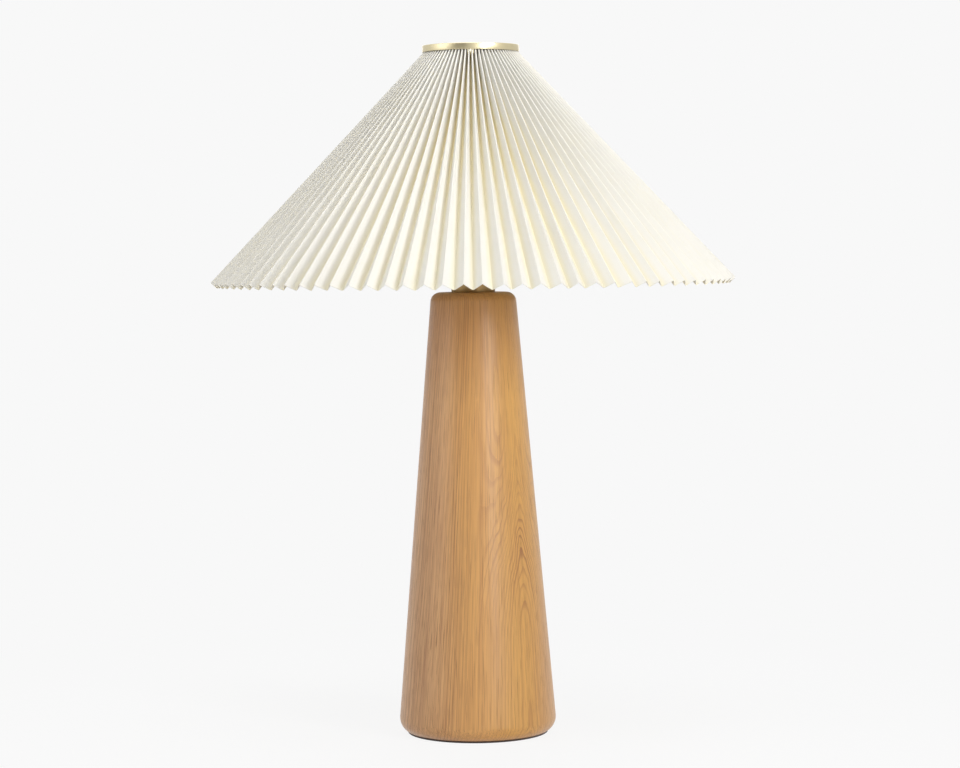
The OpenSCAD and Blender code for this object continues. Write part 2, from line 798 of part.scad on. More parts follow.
module bulb_insulator() {
    color(black_colour)
        translate([0, 0, bulb_z + bulb_contact_h])
            cylinder(r1 = bulb_contact_r + bulb_insulator_w, r2 = bulb_insulator_r, h = bulb_insulator_h);
}

module bulb_cap() {
    inner_r = bulb_cap_r - bulb_cap_wall;
    lip_r = bulb_insulator_r - bulb_lip_w;
    color(steel_colour)
        translate([0, 0, bulb_cap_z])
            rotate_extrude()
                polygon([
                    [lip_r, 0], [bulb_insulator_r, 0], [bulb_cap_r, bulb_slope_h],
                    [bulb_cap_r, bulb_cap_h], [inner_r, bulb_cap_h],
                    [inner_r, bulb_slope_h + bulb_cap_wall / 2], [lip_r, bulb_cap_wall],
                ]);
}

module bulb_glass() {
    sleeve_r = bulb_cap_r - bulb_cap_wall - seat_gap;
    sleeve_z = bulb_cap_top_z - glass_sleeve_len;
    outer = glass_outline(0);
    inner = glass_outline(glass_t);
    outline = concat(
        [[sleeve_r - glass_t, sleeve_z], [sleeve_r, sleeve_z], [sleeve_r, bulb_cap_top_z + seat_gap],
         [bulb_neck_r, bulb_cap_top_z + seat_gap]],
        outer,
        [for (i = [len(inner) - 1 : -1 : 0]) inner[i]],
        [[sleeve_r - glass_t, bulb_cap_top_z + seat_gap + glass_t]]
    );
    color(opal_colour) rotate_extrude() polygon(outline);
}

module bulb_stem() {
    flare_r = bulb_cap_r - bulb_cap_wall - 2 * seat_gap - glass_t;
    flare_z = bulb_cap_top_z + cut - glass_sleeve_len;
    stem_top_z = bulb_cap_top_z + stem_up;
    lit_x = lead_top_x + lit_past;
    color(opal_colour) {
        translate([0, 0, flare_z]) cylinder(r1 = flare_r, r2 = stem_r, h = stem_flare_h);
        translate([0, 0, flare_z]) cylinder(r = stem_r, h = stem_top_z - flare_z);
        for (side = [-1, 1])
            bar([side * lead_foot_x, 0, stem_top_z - cut], [side * lead_top_x, 0, ball_z], lead_r, 16);
        bar([-lit_x, 0, ball_z], [lit_x, 0, ball_z], lit_r, 16);
    }
}

// Shade: the outer folds are straight lines on a cone, and each pleat's depth follows
// from the width of its faces and the spacing of the folds, so it is deepest at the top.

rim_z = ring_z - shade_h;
fold_turn_r = ring_r - ring_wall - seat_gap;
lean = atan((shade_r - fold_turn_r) / shade_h);
fold_top_z = ring_top_z - ring_wall - seat_gap;
fold_top_r = fold_turn_r - (fold_top_z - ring_z) * tan(lean);
slant = (shade_r - fold_top_r) / sin(lean);
half_turn = 180 / pleat_n;

// Shares of the slant at which the pleats are drawn, closer together near the top.
pleat_steps = 5;
function step_share(k) = 1 - pow(1 - k / pleat_steps, 2);

// Radius of the outer folds at a share of the slant, 0 at the rim and 1 at the top.
function fold_r(share) = shade_r + (fold_top_r - shade_r) * share;

// Depth of a pleat, and of the mitre at its fold, square to the cone.
function pleat_depth(share) = sqrt(pow(pleat_face, 2) - pow(fold_r(share) * sin(half_turn), 2));
function mitre_depth(share) = sheet_t * pleat_face / (fold_r(share) * sin(half_turn));

// Point [radius, height] at a share of the slant, set in square to the cone.
function cone_point(share, depth) = [
    fold_r(share) - depth * cos(lean),
    rim_z + slant * share * cos(lean) - depth * sin(lean),
];

// Depth of the inner folds' lowest edge, as the drawn steps give it.
function fold_under(share) =
    lookup(share, [for (k = [0 : pleat_steps]) [
        step_share(k),
        pleat_depth(step_share(k)) + mitre_depth(step_share(k)),
    ]]);

// Centre [radius, height] of a wire that lies against the inner folds.
function wire_point(share) = cone_point(share, fold_under(share) + wire_r + seat_gap);

upper_wire = wire_point(1 - upper_wire_down / slant);
lower_wire = wire_point(lower_wire_up / slant);

module shade_ring() {
    color(brass_colour)
        translate([0, 0, ring_z])
            difference() {
                cylinder(r = ring_r, h = ring_h);
                translate([0, 0, -cut]) cylinder(r = ring_r - ring_wall, h = ring_h - ring_wall + cut);
                cylinder(r = ring_r - ring_wall - ring_flange, h = ring_h + cut);
            }
}

module pleated_sheet() {
    folds = 2 * pleat_n;
    points = [
        for (layer = [0, 1])
            for (k = [0 : pleat_steps])
                for (i = [0 : folds - 1])
                    let (
                        share = step_share(k),
                        depth = (i % 2) * pleat_depth(share) + layer * mitre_depth(share),
                        p = cone_point(share, depth),
                        a = -90 + (i + 1) * half_turn
                    )
                    [p.x * cos(a), p.x * sin(a), p.y]
    ];
    inner = (pleat_steps + 1) * folds;
    walls = [
        for (k = [0 : pleat_steps - 1])
            for (i = [0 : folds - 1])
                let (
                    j = (i + 1) % folds,
                    a = k * folds + i,
                    b = k * folds + j,
                    c = b + folds,
                    d = a + folds
                )
                each [
                    [a, d, c], [a, c, b],
                    [inner + a, inner + c, inner + d], [inner + a, inner + b, inner + c],
                ]
    ];
    edges = [
        for (i = [0 : folds - 1])
            let (j = (i + 1) % folds, top = pleat_steps * folds)
            each [
                [i, j, inner + j], [i, inner + j, inner + i],
                [top + j, top + i, inner + top + i], [top + j, inner + top + i, inner + top + j],
            ]
    ];
    color(shade_colour) polyhedron(points = points, faces = concat(walls, edges), convexity = 10);
}

// Straight frame wire at angle a, from one [radius, height] to another.
module spoke(a, from, to) {
    rotate([0, 0, a]) bar([from.x, 0, from.y], [to.x, 0, to.y], wire_r);
}

module spider() {
    color(steel_colour)
        difference() {
            union() {
                translate([0, 0, hub_z]) cylinder(r = hub_r, h = hub_t);
                for (i = [0 : arm_n - 1])
                    spoke(arm_start + i * 360 / arm_n, [hub_r - arm_root, hub_z + hub_t / 2], upper_wire);
            }
            translate([0, 0, hub_z - cut]) cylinder(r = stud_r + run_gap, h = hub_t + 2 * cut);
            wire_ring(upper_wire.x, upper_wire.y, wire_r + seat_gap);
        }
}

module upper_wire_ring() {
    color(steel_colour) wire_ring(upper_wire.x, upper_wire.y, wire_r);
}

module frame_ribs() {
    color(steel_colour)
        difference() {
            for (i = [0 : rib_n - 1]) spoke((i + 0.5) * 360 / rib_n, lower_wire, upper_wire);
            wire_ring(upper_wire.x, upper_wire.y, wire_r + seat_gap);
            wire_ring(lower_wire.x, lower_wire.y, wire_r + seat_gap);
        }
}

module lower_wire_ring() {
    color(steel_colour) wire_ring(lower_wire.x, lower_wire.y, wire_r);
}

module finial() {
    ball_up = finial_h - finial_ball_r;
    cove_r = finial_foot_r - finial_waist_r;
    waist_turn = acos(finial_waist_r / finial_ball_r);
    outline = concat(
        [[0, 0], [finial_foot_r, 0], [finial_foot_r, finial_foot_t]],
        arc(finial_foot_r, finial_foot_t + cove_r, cove_r, -90, -180),
        arc(0, ball_up, finial_ball_r, -waist_turn, 90)
    );
    color(brass_colour)
        translate([0, 0, finial_z])
            difference() {
                rotate_extrude() polygon(outline);
                translate([0, 0, -cut]) cylinder(r = stud_r + run_gap, h = finial_bore_h + cut);
            }
}

felt_pad();
wood_column();
cord_bushing();
bottom_washer();
bottom_nut();
threaded_pipe();
neck_cup();
harp_saddle();
saddle_locknut();
harp();
harp_stud();
harp_sleeve_left();
harp_sleeve_right();
socket_cap();
cap_set_screw();
socket_shell();
socket_liner();
socket_insulator();
terminal_screws();
screw_shell();
centre_contact();
switch_shaft();
switch_knob();
bulb_contact();
bulb_insulator();
bulb_cap();
bulb_glass();
bulb_stem();
shade_ring();
pleated_sheet();
spider();
upper_wire_ring();
frame_ribs();
lower_wire_ring();
finial();
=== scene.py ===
"""Table lamp: a turned oak column, a brass neck and a pleated cone shade on a harp."""
import json
import logging
import math
import random
from dataclasses import dataclass
from enum import Enum
from functools import cache
from typing import Any, Sequence

import bpy
from mathutils import Color, Matrix, Vector


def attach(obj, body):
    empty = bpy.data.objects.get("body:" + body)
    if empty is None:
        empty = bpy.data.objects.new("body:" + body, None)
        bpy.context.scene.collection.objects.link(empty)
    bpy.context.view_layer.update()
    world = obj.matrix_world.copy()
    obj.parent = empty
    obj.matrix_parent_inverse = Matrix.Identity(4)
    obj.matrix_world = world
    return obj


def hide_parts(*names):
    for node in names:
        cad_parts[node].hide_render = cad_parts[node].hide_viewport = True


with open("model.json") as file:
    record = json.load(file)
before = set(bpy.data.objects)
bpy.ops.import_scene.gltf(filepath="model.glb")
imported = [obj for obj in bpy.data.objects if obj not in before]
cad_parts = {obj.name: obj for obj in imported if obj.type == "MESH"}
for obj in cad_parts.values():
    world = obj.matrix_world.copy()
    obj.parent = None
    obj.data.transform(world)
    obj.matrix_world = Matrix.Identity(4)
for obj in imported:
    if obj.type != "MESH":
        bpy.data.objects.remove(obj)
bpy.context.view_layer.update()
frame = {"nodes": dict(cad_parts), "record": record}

LOG = logging.getLogger("table_lamp")
MM = 0.001

Point = tuple[float, float]
Triple = tuple[float, float, float]
Scale = float | Triple
Colour = tuple[float, float, float, float]


class Body(Enum):
    """Bodies of the lamp that pieces ride on."""

    ROOT = "root"
    SHADE = "shade"
    FINIAL = "finial"
    BULB = "bulb"


class Slot(Enum):
    """Material slots of the record."""

    FELT = "felt"
    WOOD = "wood"
    BRASS = "brass"
    DARK_BRASS = "dark_brass"
    SOCKET_BRASS = "socket_brass"
    STEEL = "steel"
    WIRE = "wire_steel"
    CARD = "card"
    MOULDING = "black_moulding"
    SOLDER = "solder"
    BLACK_GLASS = "black_glass"
    BULB_METAL = "bulb_metal"
    OPAL = "opal_glass"
    CLEAR = "clear_glass"
    SHADE = "shade_sheet"


def display(red: int, green: int, blue: int) -> Colour:
    """Turns a colour as a screen shows it into the numbers that a shader takes.

    Args:
        red: Red from 0 to 255.
        green: Green from 0 to 255.
        blue: Blue from 0 to 255.

    Returns:
        The colour in linear light, with full alpha.
    """
    shown = Color((red / 255, green / 255, blue / 255))
    return (*shown.from_srgb_to_scene_linear(), 1.0)


def grey(level: float) -> Colour:
    """Grey at a level of linear light."""
    return level, level, level, 1.0


# ---- shader writing ----


class Term:
    """A node's output. Arithmetic on it adds Math nodes."""

    def __init__(self, shader: "Shader", socket: bpy.types.NodeSocket) -> None:
        """Keeps the shader and the output socket."""
        self.shader = shader
        self.socket = socket

    def _math(self, operation: str, *values: "Amount") -> "Term":
        """Adds one Math node on the given values."""
        return self.shader.node("ShaderNodeMath", {"operation": operation}, dict(enumerate(values)))

    def __add__(self, other: "Amount") -> "Term":
        """Sum."""
        return self._math("ADD", self, other)

    def __radd__(self, other: "Amount") -> "Term":
        """Sum with a number on the left."""
        return self._math("ADD", other, self)

    def __sub__(self, other: "Amount") -> "Term":
        """Difference."""
        return self._math("SUBTRACT", self, other)

    def __rsub__(self, other: "Amount") -> "Term":
        """Difference with a number on the left."""
        return self._math("SUBTRACT", other, self)

    def __mul__(self, other: "Amount") -> "Term":
        """Product."""
        return self._math("MULTIPLY", self, other)

    def __rmul__(self, other: "Amount") -> "Term":
        """Product with a number on the left."""
        return self._math("MULTIPLY", other, self)

    def __truediv__(self, other: "Amount") -> "Term":
        """Quotient."""
        return self._math("DIVIDE", self, other)

    def __rtruediv__(self, other: "Amount") -> "Term":
        """Quotient with a number on the left."""
        return self._math("DIVIDE", other, self)

    def __pow__(self, other: "Amount") -> "Term":
        """Power."""
        return self._math("POWER", self, other)

    def part(self) -> "Term":
        """The part after the decimal point, from 0 to 1."""
        return self._math("FRACT", self)

    def pingpong(self, length: float) -> "Term":
        """Rises from 0 to the length and falls back, over and over."""
        return self._math("PINGPONG", self, length)

    def most(self, other: "Amount") -> "Term":
        """The larger of two values."""
        return self._math("MAXIMUM", self, other)


Amount = Term | float


class Shader:
    """The node tree of a material or world, with one method that makes any node."""

    def __init__(self, name: str, world: bool = False) -> None:
        """Starts an empty material of that name, or an empty world."""
        self.owner = (bpy.data.worlds if world else bpy.data.materials).new(name)
        self.owner.use_nodes = True
        self.tree = self.owner.node_tree
        self.tree.nodes.clear()

    def node(self, kind: str, settings: dict[str, Any] | None = None,
             inputs: dict[Any, Any] | None = None, out: int | str = 0) -> Term | None:
        """Makes a node.

        Args:
            kind: The node's type.
            settings: Its own settings, set first.
            inputs: Numbers, colours or terms for its sockets, by name or place.
            out: Name or place of the output that is wanted.

        Returns:
            The output as a term, or None for a node without outputs.
        """
        made = self.tree.nodes.new(kind)
        for key, value in (settings or {}).items():
            setattr(made, key, value)
        for key, value in (inputs or {}).items():
            if isinstance(value, Term):
                self.tree.links.new(value.socket, made.inputs[key])
            else:
                made.inputs[key].default_value = value
        return Term(self, made.outputs[out]) if made.outputs else None

    def coords(self, name: str = "Object") -> Term:
        """The piece's own coordinates, in metres for Object."""
        return self.node("ShaderNodeTexCoord", out=name)

    def axis(self, vector: Term, name: str) -> Term:
        """One number out of a vector."""
        return self.node("ShaderNodeSeparateXYZ", None, {0: vector}, name)

    def noise(self, scale: Scale, detail: float = 2.0, roughness: float = 0.5,
              place: str | Term = "Object") -> Term:
        """Cloudy noise from 0 to 1.

        Args:
            scale: Lumps per metre, along each axis or the same along all.
            detail: How many finer layers are added.
            roughness: How strong the finer layers are.
            place: The coordinates that it reads, by name or as a term.

        Returns:
            The noise as a term.
        """
        start = place if isinstance(place, Term) else self.coords(place)
        lumps = scale if isinstance(scale, tuple) else (scale,) * 3
        spread = self.node("ShaderNodeVectorMath", {"operation": "MULTIPLY"}, {0: start, 1: lumps})
        return self.node("ShaderNodeTexNoise", None, {
            "Vector": spread, "Scale": 1.0, "Detail": detail, "Roughness": roughness}, "Fac")

    def step(self, value: Amount, low: float, high: float, top: float = 1.0) -> Term:
        """Goes smoothly from 0 at low to the top at high."""
        return self.node("ShaderNodeMapRange", {"interpolation_type": "SMOOTHSTEP"},
                         {"Value": value, "From Min": low, "From Max": high, "To Max": top})

    def mix(self, share: Amount, first: Any, second: Any) -> Term:
        """Mixes two colours by a share from 0 to 1."""
        return self.node("ShaderNodeMix", {"data_type": "RGBA"}, {0: share, 6: first, 7: second}, 2)

    def layered(self, base: Any, *layers: tuple[Amount, Colour]) -> Any:
        """Lays colours over a base one after the other, each by its own share."""
        for share, colour in layers:
            base = self.mix(share, base, colour)
        return base

    def bump(self, height: Amount, strength: float, distance: float) -> Term:
        """Relief from a height, for a Normal socket."""
        return self.node("ShaderNodeBump", None, {
            "Height": height, "Strength": strength, "Distance": distance}, "Normal")

    def rays(self) -> list[Term]:
        """Camera, glossy and transmission rays, each as 1 or 0."""
        path = self.node("ShaderNodeLightPath").socket.node
        return [Term(self, path.outputs[f"Is {kind} Ray"])
                for kind in ("Camera", "Glossy", "Transmission")]

    def principled(self, **inputs: Any) -> Term:
        """Principled surface. Underscores in the names of its sockets stand for spaces."""
        named = {key.replace("_", " "): value for key, value in inputs.items()}
        return self.node("ShaderNodeBsdfPrincipled", None, named)

    def finish(self, surface: Term) -> bpy.types.Material | bpy.types.World:
        """Joins a surface to the output and hands over the owner."""
        self.node(f"ShaderNodeOutput{type(self.owner).__name__}", None, {"Surface": surface})
        return self.owner


# ---- finishes ----

# Lengths are in metres and lumps per metre. A zone says where a share starts and where it is
# full, and its third number says how much that is.


@dataclass(frozen=True)
class Oak:
    """Oak under a thin satin lacquer.

    The grain is straight and closes up to the top as the column does. Round a heart line at the
    front right the growth rings climb on their way up, so that the surface cuts them into open,
    nested arches there. A pace is in lumps to a ring.
    """

    closing: float = 1.155
    tilt: float = 0.030
    heart: Point = (0.0428, -0.0475)
    heart_zone: Point = (0.016, 0.066)
    climb: float = 0.046
    climb_zone: Point = (0.085, 0.300)
    sway: float = 0.012
    sway_lumps: Triple = (14.0, 14.0, 4.5)
    waver: float = 0.0012
    arch_waver: float = 0.0065
    waver_lumps: Triple = (70.0, 70.0, 30.0)
    ring: float = 0.0031
    width_pace: float = 0.45
    width_change: float = 1.1
    strength_pace: float = 0.19
    strength_zone: Point = (0.40, 0.62)
    weakest: float = 0.35
    late_zone: Point = (0.50, 0.90)
    late_end_zone: Point = (0.93, 1.0)
    early_end: float = 0.45
    late_share: float = 0.66
    late_in_arches: float = 0.55
    late_left: float = 0.20
    lines_left: float = 0.25
    fainter_right: float = 0.15
    fibre_lumps: Triple = (1000.0, 1000.0, 6.0)
    fibre_zone: Triple = (0.42, 0.72, 0.32)
    band_lumps: Triple = (260.0, 260.0, 1.8)
    band_zone: Triple = (0.45, 0.72, 0.26)
    pore_lumps: Triple = (1900.0, 1900.0, 26.0)
    pore_zone: Point = (0.60, 0.70)
    early_pores: float = 0.05
    flame_lumps: Triple = (22.0, 22.0, 3.5)
    flame_zone: Triple = (0.45, 0.80, 0.20)
    left_way: Point = (0.90, -0.15)
    left_zone: Point = (0.012, -0.040)
    right_zone: Point = (0.004, 0.030)
    # Painted sheen: the right edge of the column turns pinker and less saturated.
    edge_zone: Triple = (0.050, 0.066, 0.35)
    # Painted shade: the top of the column turns darker amber under the lampshade.
    top_zone: Triple = (0.300, 0.395, 0.38)
    # Share of the pinker tone on the left: partly the wood's own tone, partly painted light.
    pink_left: float = 0.62
    late_dark: float = 0.72
    pore_dark: float = 0.50
    light_wood: Colour = display(231, 176, 107)
    golden: Colour = display(228, 174, 96)
    dark_line: Colour = display(166, 108, 68)
    pore: Colour = display(132, 88, 56)
    # Pinker tone: on the left partly the wood's own and partly painted light; at the right edge
    # painted sheen.
    pink: Colour = display(221, 175, 131)
    amber: Colour = display(190, 126, 78)

    def material(self) -> bpy.types.Material:
        """Writes the rings, pores, fibres and the drift of colour, with painted shade at the top,
        painted sheen at the right edge and partly painted light on the left side.
        """
        sh = Shader("honey_oak")
        flat = sh.coords()
        x, y, z = (sh.axis(flat, a) for a in "XYZ")
        widen = 1.0 / (1.0 - z * self.closing)
        across, deep = x * widen - z * self.tilt, y * widen
        place = sh.node("ShaderNodeCombineXYZ", None, {0: across, 1: deep, 2: z})
        dx, dy = across - self.heart[0], deep - self.heart[1]
        away = (dx * dx + dy * dy) ** 0.5
        by_heart = 1.0 - sh.step(away, *self.heart_zone)
        rise = sh.step(z, *self.climb_zone)
        # rise * (1 - rise) is a quarter at most.
        turn = rise * (1.0 - rise) * 4.0 * by_heart
        sway = sh.noise(self.sway_lumps, detail=1.0, place=place) - 0.5
        waver = sh.noise(self.waver_lumps, place=place) - 0.5
        far = (away + rise * by_heart * self.climb + sway * self.sway
               + waver * (self.waver + turn * self.arch_waver))

        def drift(pace: float) -> Term:
            """Noise that changes from ring to ring, at a pace."""
            return sh.node("ShaderNodeTexNoise", {"noise_dimensions": "1D"},
                           {"W": far * (pace / self.ring), "Scale": 1.0, "Detail": 1.0}, "Fac")

        phase = (far * (1 / self.ring) + drift(self.width_pace) * self.width_change).part()
        strong = sh.step(drift(self.strength_pace), *self.strength_zone)
        late = sh.step(phase, *self.late_zone) * (1.0 - sh.step(phase, *self.late_end_zone))
        late = late * (self.weakest + strong * (1.0 - self.weakest))
        early = 1.0 - sh.step(phase, 0.0, self.early_end)
        fibre = sh.noise(self.fibre_lumps, roughness=0.6, place=place)
        band = sh.noise(self.band_lumps, roughness=0.55, place=place)
        streak = sh.noise(self.pore_lumps, detail=1.0, place=place)
        pores = sh.step(streak + early * self.early_pores, *self.pore_zone)
        left = sh.step(x * self.left_way[0] + y * self.left_way[1], *self.left_zone)
        right = sh.step(x, *self.right_zone)
        lines = 1.0 - right * self.fainter_right + left * self.lines_left
        late = late * (self.late_share + turn * self.late_in_arches
                       - right * (1.0 - turn) * self.fainter_right + left * self.late_left)
        wood = sh.layered(
            # The left side turns pinker and lighter: partly the wood's own tone, partly painted
            # light.
            self.light_wood, (right, self.golden), (left * self.pink_left, self.pink),
            (sh.step(sh.noise(self.flame_lumps), *self.flame_zone), self.amber),
            # Painted sheen at the right edge, then painted shade at the top of the column.
            (sh.step(x, *self.edge_zone), self.pink), (sh.step(z, *self.top_zone), self.amber),
            (late * self.late_dark, self.dark_line),
            (sh.step(band, *self.band_zone) * lines, self.dark_line),
            (sh.step(fibre, *self.fibre_zone) * lines, self.dark_line),
            (pores * lines * self.pore_dark, self.pore))
        height = fibre * 0.5 - pores * 0.8 - late * 0.10
        return sh.finish(sh.principled(
            Base_Color=wood, Roughness=0.36 + pores * 0.25 + fibre * 0.10,
            Specular_IOR_Level=0.5, Coat_Weight=0.18, Coat_Roughness=0.24,
            Normal=sh.bump(height, strength=0.5, distance=0.00015)))


@dataclass(frozen=True)
class PleatedFabric:
    """Ivory fabric bonded to stiff card and folded. UV runs across the pleats and up the slant."""

    faces: int = 180
    face_width: float = 0.0112
    slant: float = 0.2946
    sheer: float = 0.17
    # Painted shade in the folds: where it starts across a face, how strong it is, and how much more
    # it gets near the top.
    fold_zone: Point = (0.38, 1.0)
    top_zone: Point = (0.15, 1.0)
    valley_share: float = 0.60
    valley_at_top: float = 0.10
    deep_at_top: float = 0.55
    weft_lumps: Point = (70.0, 700.0)
    warp_lumps: Point = (600.0, 50.0)
    thread_zone: Triple = (1.0, 1.4, 0.10)
    slub_lumps: Point = (160.0, 22.0)
    slub_zone: Triple = (0.55, 0.8, 0.12)
    cloud_lumps: float = 14.0
    cloud_zone: Triple = (0.4, 0.75, 0.08)
    ivory: Colour = display(251, 250, 247)
    # Valley and deep are the colours of the painted shade in the folds, deep as a warmer shade near
    # the top; valley also tints the weave, slubs and clouds.
    valley: Colour = display(244, 236, 202)
    deep: Colour = display(252, 234, 172)
    glow: Colour = display(249, 239, 181)

    def material(self) -> bpy.types.Material:
        """Writes the weave and its slubs, and painted shade down in the folds, warmer and stronger
        near the top.
        """
        sh = Shader("ivory_pleated_fabric")
        uv = sh.coords("UV")
        fold = (sh.axis(uv, "X") * self.faces).pingpong(1.0)
        inner = sh.step(fold, *self.fold_zone)
        near_top = sh.step(sh.axis(uv, "Y"), *self.top_zone)

        def threads(lumps: Point, detail: float = 1.0) -> Term:
            """Noise on the sheet laid flat, with lumps across the pleats and up the slant."""
            width = self.faces * self.face_width
            return sh.noise((width * lumps[0], self.slant * lumps[1], 1.0), detail, place="UV")

        weave = threads(self.weft_lumps) + threads(self.warp_lumps)
        slub = threads(self.slub_lumps, detail=2.0)
        colour = sh.layered(
            self.ivory,
            # Painted shade, darker and yellower towards the inner folds and stronger near the top.
            (inner * (self.valley_share + near_top * self.valley_at_top), self.valley),
            (inner * near_top * self.deep_at_top, self.deep),
            (sh.step(weave, *self.thread_zone), self.valley),
            (sh.step(slub, *self.slub_zone), self.valley),
            (sh.step(sh.noise(self.cloud_lumps), *self.cloud_zone), self.valley))
        cloth = sh.principled(
            Base_Color=colour, Roughness=0.80 + slub * 0.12, Specular_IOR_Level=0.25,
            Sheen_Weight=0.08, Sheen_Roughness=0.5,
            Normal=sh.bump(weave, strength=0.06, distance=0.00008))
        glow = sh.node("ShaderNodeBsdfTranslucent", None, {"Color": self.glow})
        return sh.finish(sh.node("ShaderNodeMixShader", None, {0: self.sheer, 1: cloth, 2: glow}))


@dataclass(frozen=True)
class Metal:
    """Metal with the fine lines of its last working, cloudy dulling and small marks."""

    name: str
    bright: Colour
    dull: Colour
    roughness: float = 0.28
    line_lumps: Scale = (60.0, 60.0, 3800.0)
    dulling: float = 0.35
    relief: float = 0.00002
    cloud_lumps: Scale = 55.0
    dull_zone: Point = (0.55, 0.95)
    mark_lumps: Scale = 700.0
    mark_zone: Point = (0.66, 0.74)

    def material(self) -> bpy.types.Material:
        """Writes the lines, the dulling and the marks."""
        sh = Shader(self.name)
        lines = sh.noise(self.line_lumps, detail=3.0, roughness=0.65)
        cloud = sh.noise(self.cloud_lumps, detail=3.0, roughness=0.6)
        marks = sh.step(sh.noise(self.mark_lumps, detail=1.0), *self.mark_zone)
        dulled = sh.step(cloud + lines * 0.3, *self.dull_zone, self.dulling)
        return sh.finish(sh.principled(
            Base_Color=sh.mix(dulled + marks * 0.15, self.bright, self.dull), Metallic=1.0,
            Roughness=self.roughness + lines * 0.10 + dulled * 0.25 + marks * 0.1,
            Normal=sh.bump(lines + marks * 0.4, strength=0.4, distance=self.relief)))


@dataclass(frozen=True)
class Coating:
    """Paint, moulding, card or glaze: a grained skin with slight cloudiness and small pits."""

    name: str
    colour: Colour
    shaded: Colour
    roughness: float = 0.5
    grain_lumps: Scale = 900.0
    relief: float = 0.00005
    coat: float = 0.0
    cloudiness: float = 0.5
    cloud_lumps: Scale = 90.0
    cloud_zone: Point = (0.35, 0.75)
    grain_zone: Triple = (0.5, 0.8, 0.3)
    pit_lumps: Scale = 1800.0
    pit_zone: Point = (0.64, 0.72)

    def material(self) -> bpy.types.Material:
        """Writes the grain, the clouds and the pits."""
        sh = Shader(self.name)
        grain = sh.noise(self.grain_lumps, detail=3.0, roughness=0.6)
        clouds = sh.step(sh.noise(self.cloud_lumps), *self.cloud_zone, self.cloudiness)
        pits = sh.step(sh.noise(self.pit_lumps, detail=1.0), *self.pit_zone)
        share = clouds + sh.step(grain, *self.grain_zone)
        return sh.finish(sh.principled(
            Base_Color=sh.mix(share, self.colour, self.shaded),
            Roughness=self.roughness + grain * 0.12 + pits * 0.1,
            Coat_Weight=self.coat, Coat_Roughness=0.15,
            Normal=sh.bump(grain - pits * 0.6, strength=0.5, distance=self.relief)))


@dataclass(frozen=True)
class Felt:
    """Pressed wool felt: short fibres in all directions."""

    colour: Colour = display(62, 47, 42)
    lint: Colour = display(108, 88, 76)
    short_lumps: Scale = 1400.0
    short_zone: Triple = (0.48, 0.75, 0.5)
    long_lumps: Scale = (260.0, 1900.0, 1900.0)
    long_zone: Triple = (0.6, 0.75, 0.4)

    def material(self) -> bpy.types.Material:
        """Writes the fibres and the lint."""
        sh = Shader("dark_felt")
        short = sh.noise(self.short_lumps, detail=4.0, roughness=0.75)
        long = sh.noise(self.long_lumps)
        share = sh.step(short, *self.short_zone) + sh.step(long, *self.long_zone)
        return sh.finish(sh.principled(
            Base_Color=sh.mix(share, self.colour, self.lint), Roughness=0.95,
            Sheen_Weight=0.4, Sheen_Roughness=0.6,
            Normal=sh.bump(short + long * 0.5, strength=0.8, distance=0.0003)))


@dataclass(frozen=True)
class Glass:
    """Glass, either clear or with a soft white coating inside."""

    name: str
    colour: Colour
    see_through: float
    roughness: float
    ripple_lumps: Scale = (45.0, 45.0, 20.0)
    dust_lumps: Scale = 1500.0
    dust_zone: Point = (0.62, 0.74)
    dusty: float = 0.93

    def material(self) -> bpy.types.Material:
        """Writes the glass with faint ripples and dust."""
        sh = Shader(self.name)
        ripple = sh.noise(self.ripple_lumps, detail=1.0)
        dust = sh.step(sh.noise(self.dust_lumps, detail=1.0), *self.dust_zone)
        tint = tuple(c * self.dusty for c in self.colour[:3]) + (1.0,)
        return sh.finish(sh.principled(
            Base_Color=sh.mix(dust * 0.3, self.colour, tint),
            Roughness=self.roughness + dust * 0.12, IOR=1.5,
            Transmission_Weight=self.see_through,
            Normal=sh.bump(ripple, strength=0.15, distance=0.0003)))


FINISHES = {
    Slot.FELT: Felt(),
    Slot.WOOD: Oak(),
    Slot.BRASS: Metal("satin_brass", display(212, 201, 166), display(186, 168, 124)),
    # A darker copy of the brass, used for the neck cup under the lampshade.
    Slot.DARK_BRASS: Metal("darker_brass", display(172, 146, 102), display(126, 98, 60), 0.36),
    Slot.SOCKET_BRASS: Metal("rolled_brass", display(226, 204, 146), display(180, 152, 94), 0.22),
    Slot.STEEL: Metal("zinc_steel", display(205, 207, 206), display(160, 160, 156), 0.32, 1500.0),
    Slot.WIRE: Coating("ivory_coated_wire", display(236, 231, 216), display(222, 214, 192), 0.4,
                       coat=0.3),
    Slot.CARD: Coating("fibre_card", display(150, 118, 82), display(116, 88, 60), 0.85,
                       (500.0, 500.0, 2400.0), relief=0.0001),
    Slot.MOULDING: Coating("black_moulding", display(34, 33, 33), display(48, 46, 45), 0.38,
                           1600.0, relief=0.00004),
    Slot.SOLDER: Metal("solder", display(200, 200, 198), display(150, 150, 148), 0.35, 400.0,
                       dulling=0.6, relief=0.0001),
    Slot.BLACK_GLASS: Coating("black_glass", display(20, 20, 24), display(32, 32, 38), 0.08,
                              300.0, relief=0.00003, coat=0.6),
    Slot.BULB_METAL: Metal("bulb_thread", display(222, 222, 220), display(180, 180, 176), 0.2,
                           (90.0, 90.0, 2500.0), dulling=0.25),
    Slot.OPAL: Glass("opal_glass", display(247, 246, 241), see_through=0.0, roughness=0.16),
    Slot.CLEAR: Glass("clear_glass", display(240, 245, 245), see_through=0.9, roughness=0.03),
    Slot.SHADE: PleatedFabric(),
}


@cache
def finish_of(slot: Slot) -> bpy.types.Material:
    """The slot's material, made the first time that it is asked for."""
    return FINISHES[slot].material()


# ---- modelling ----


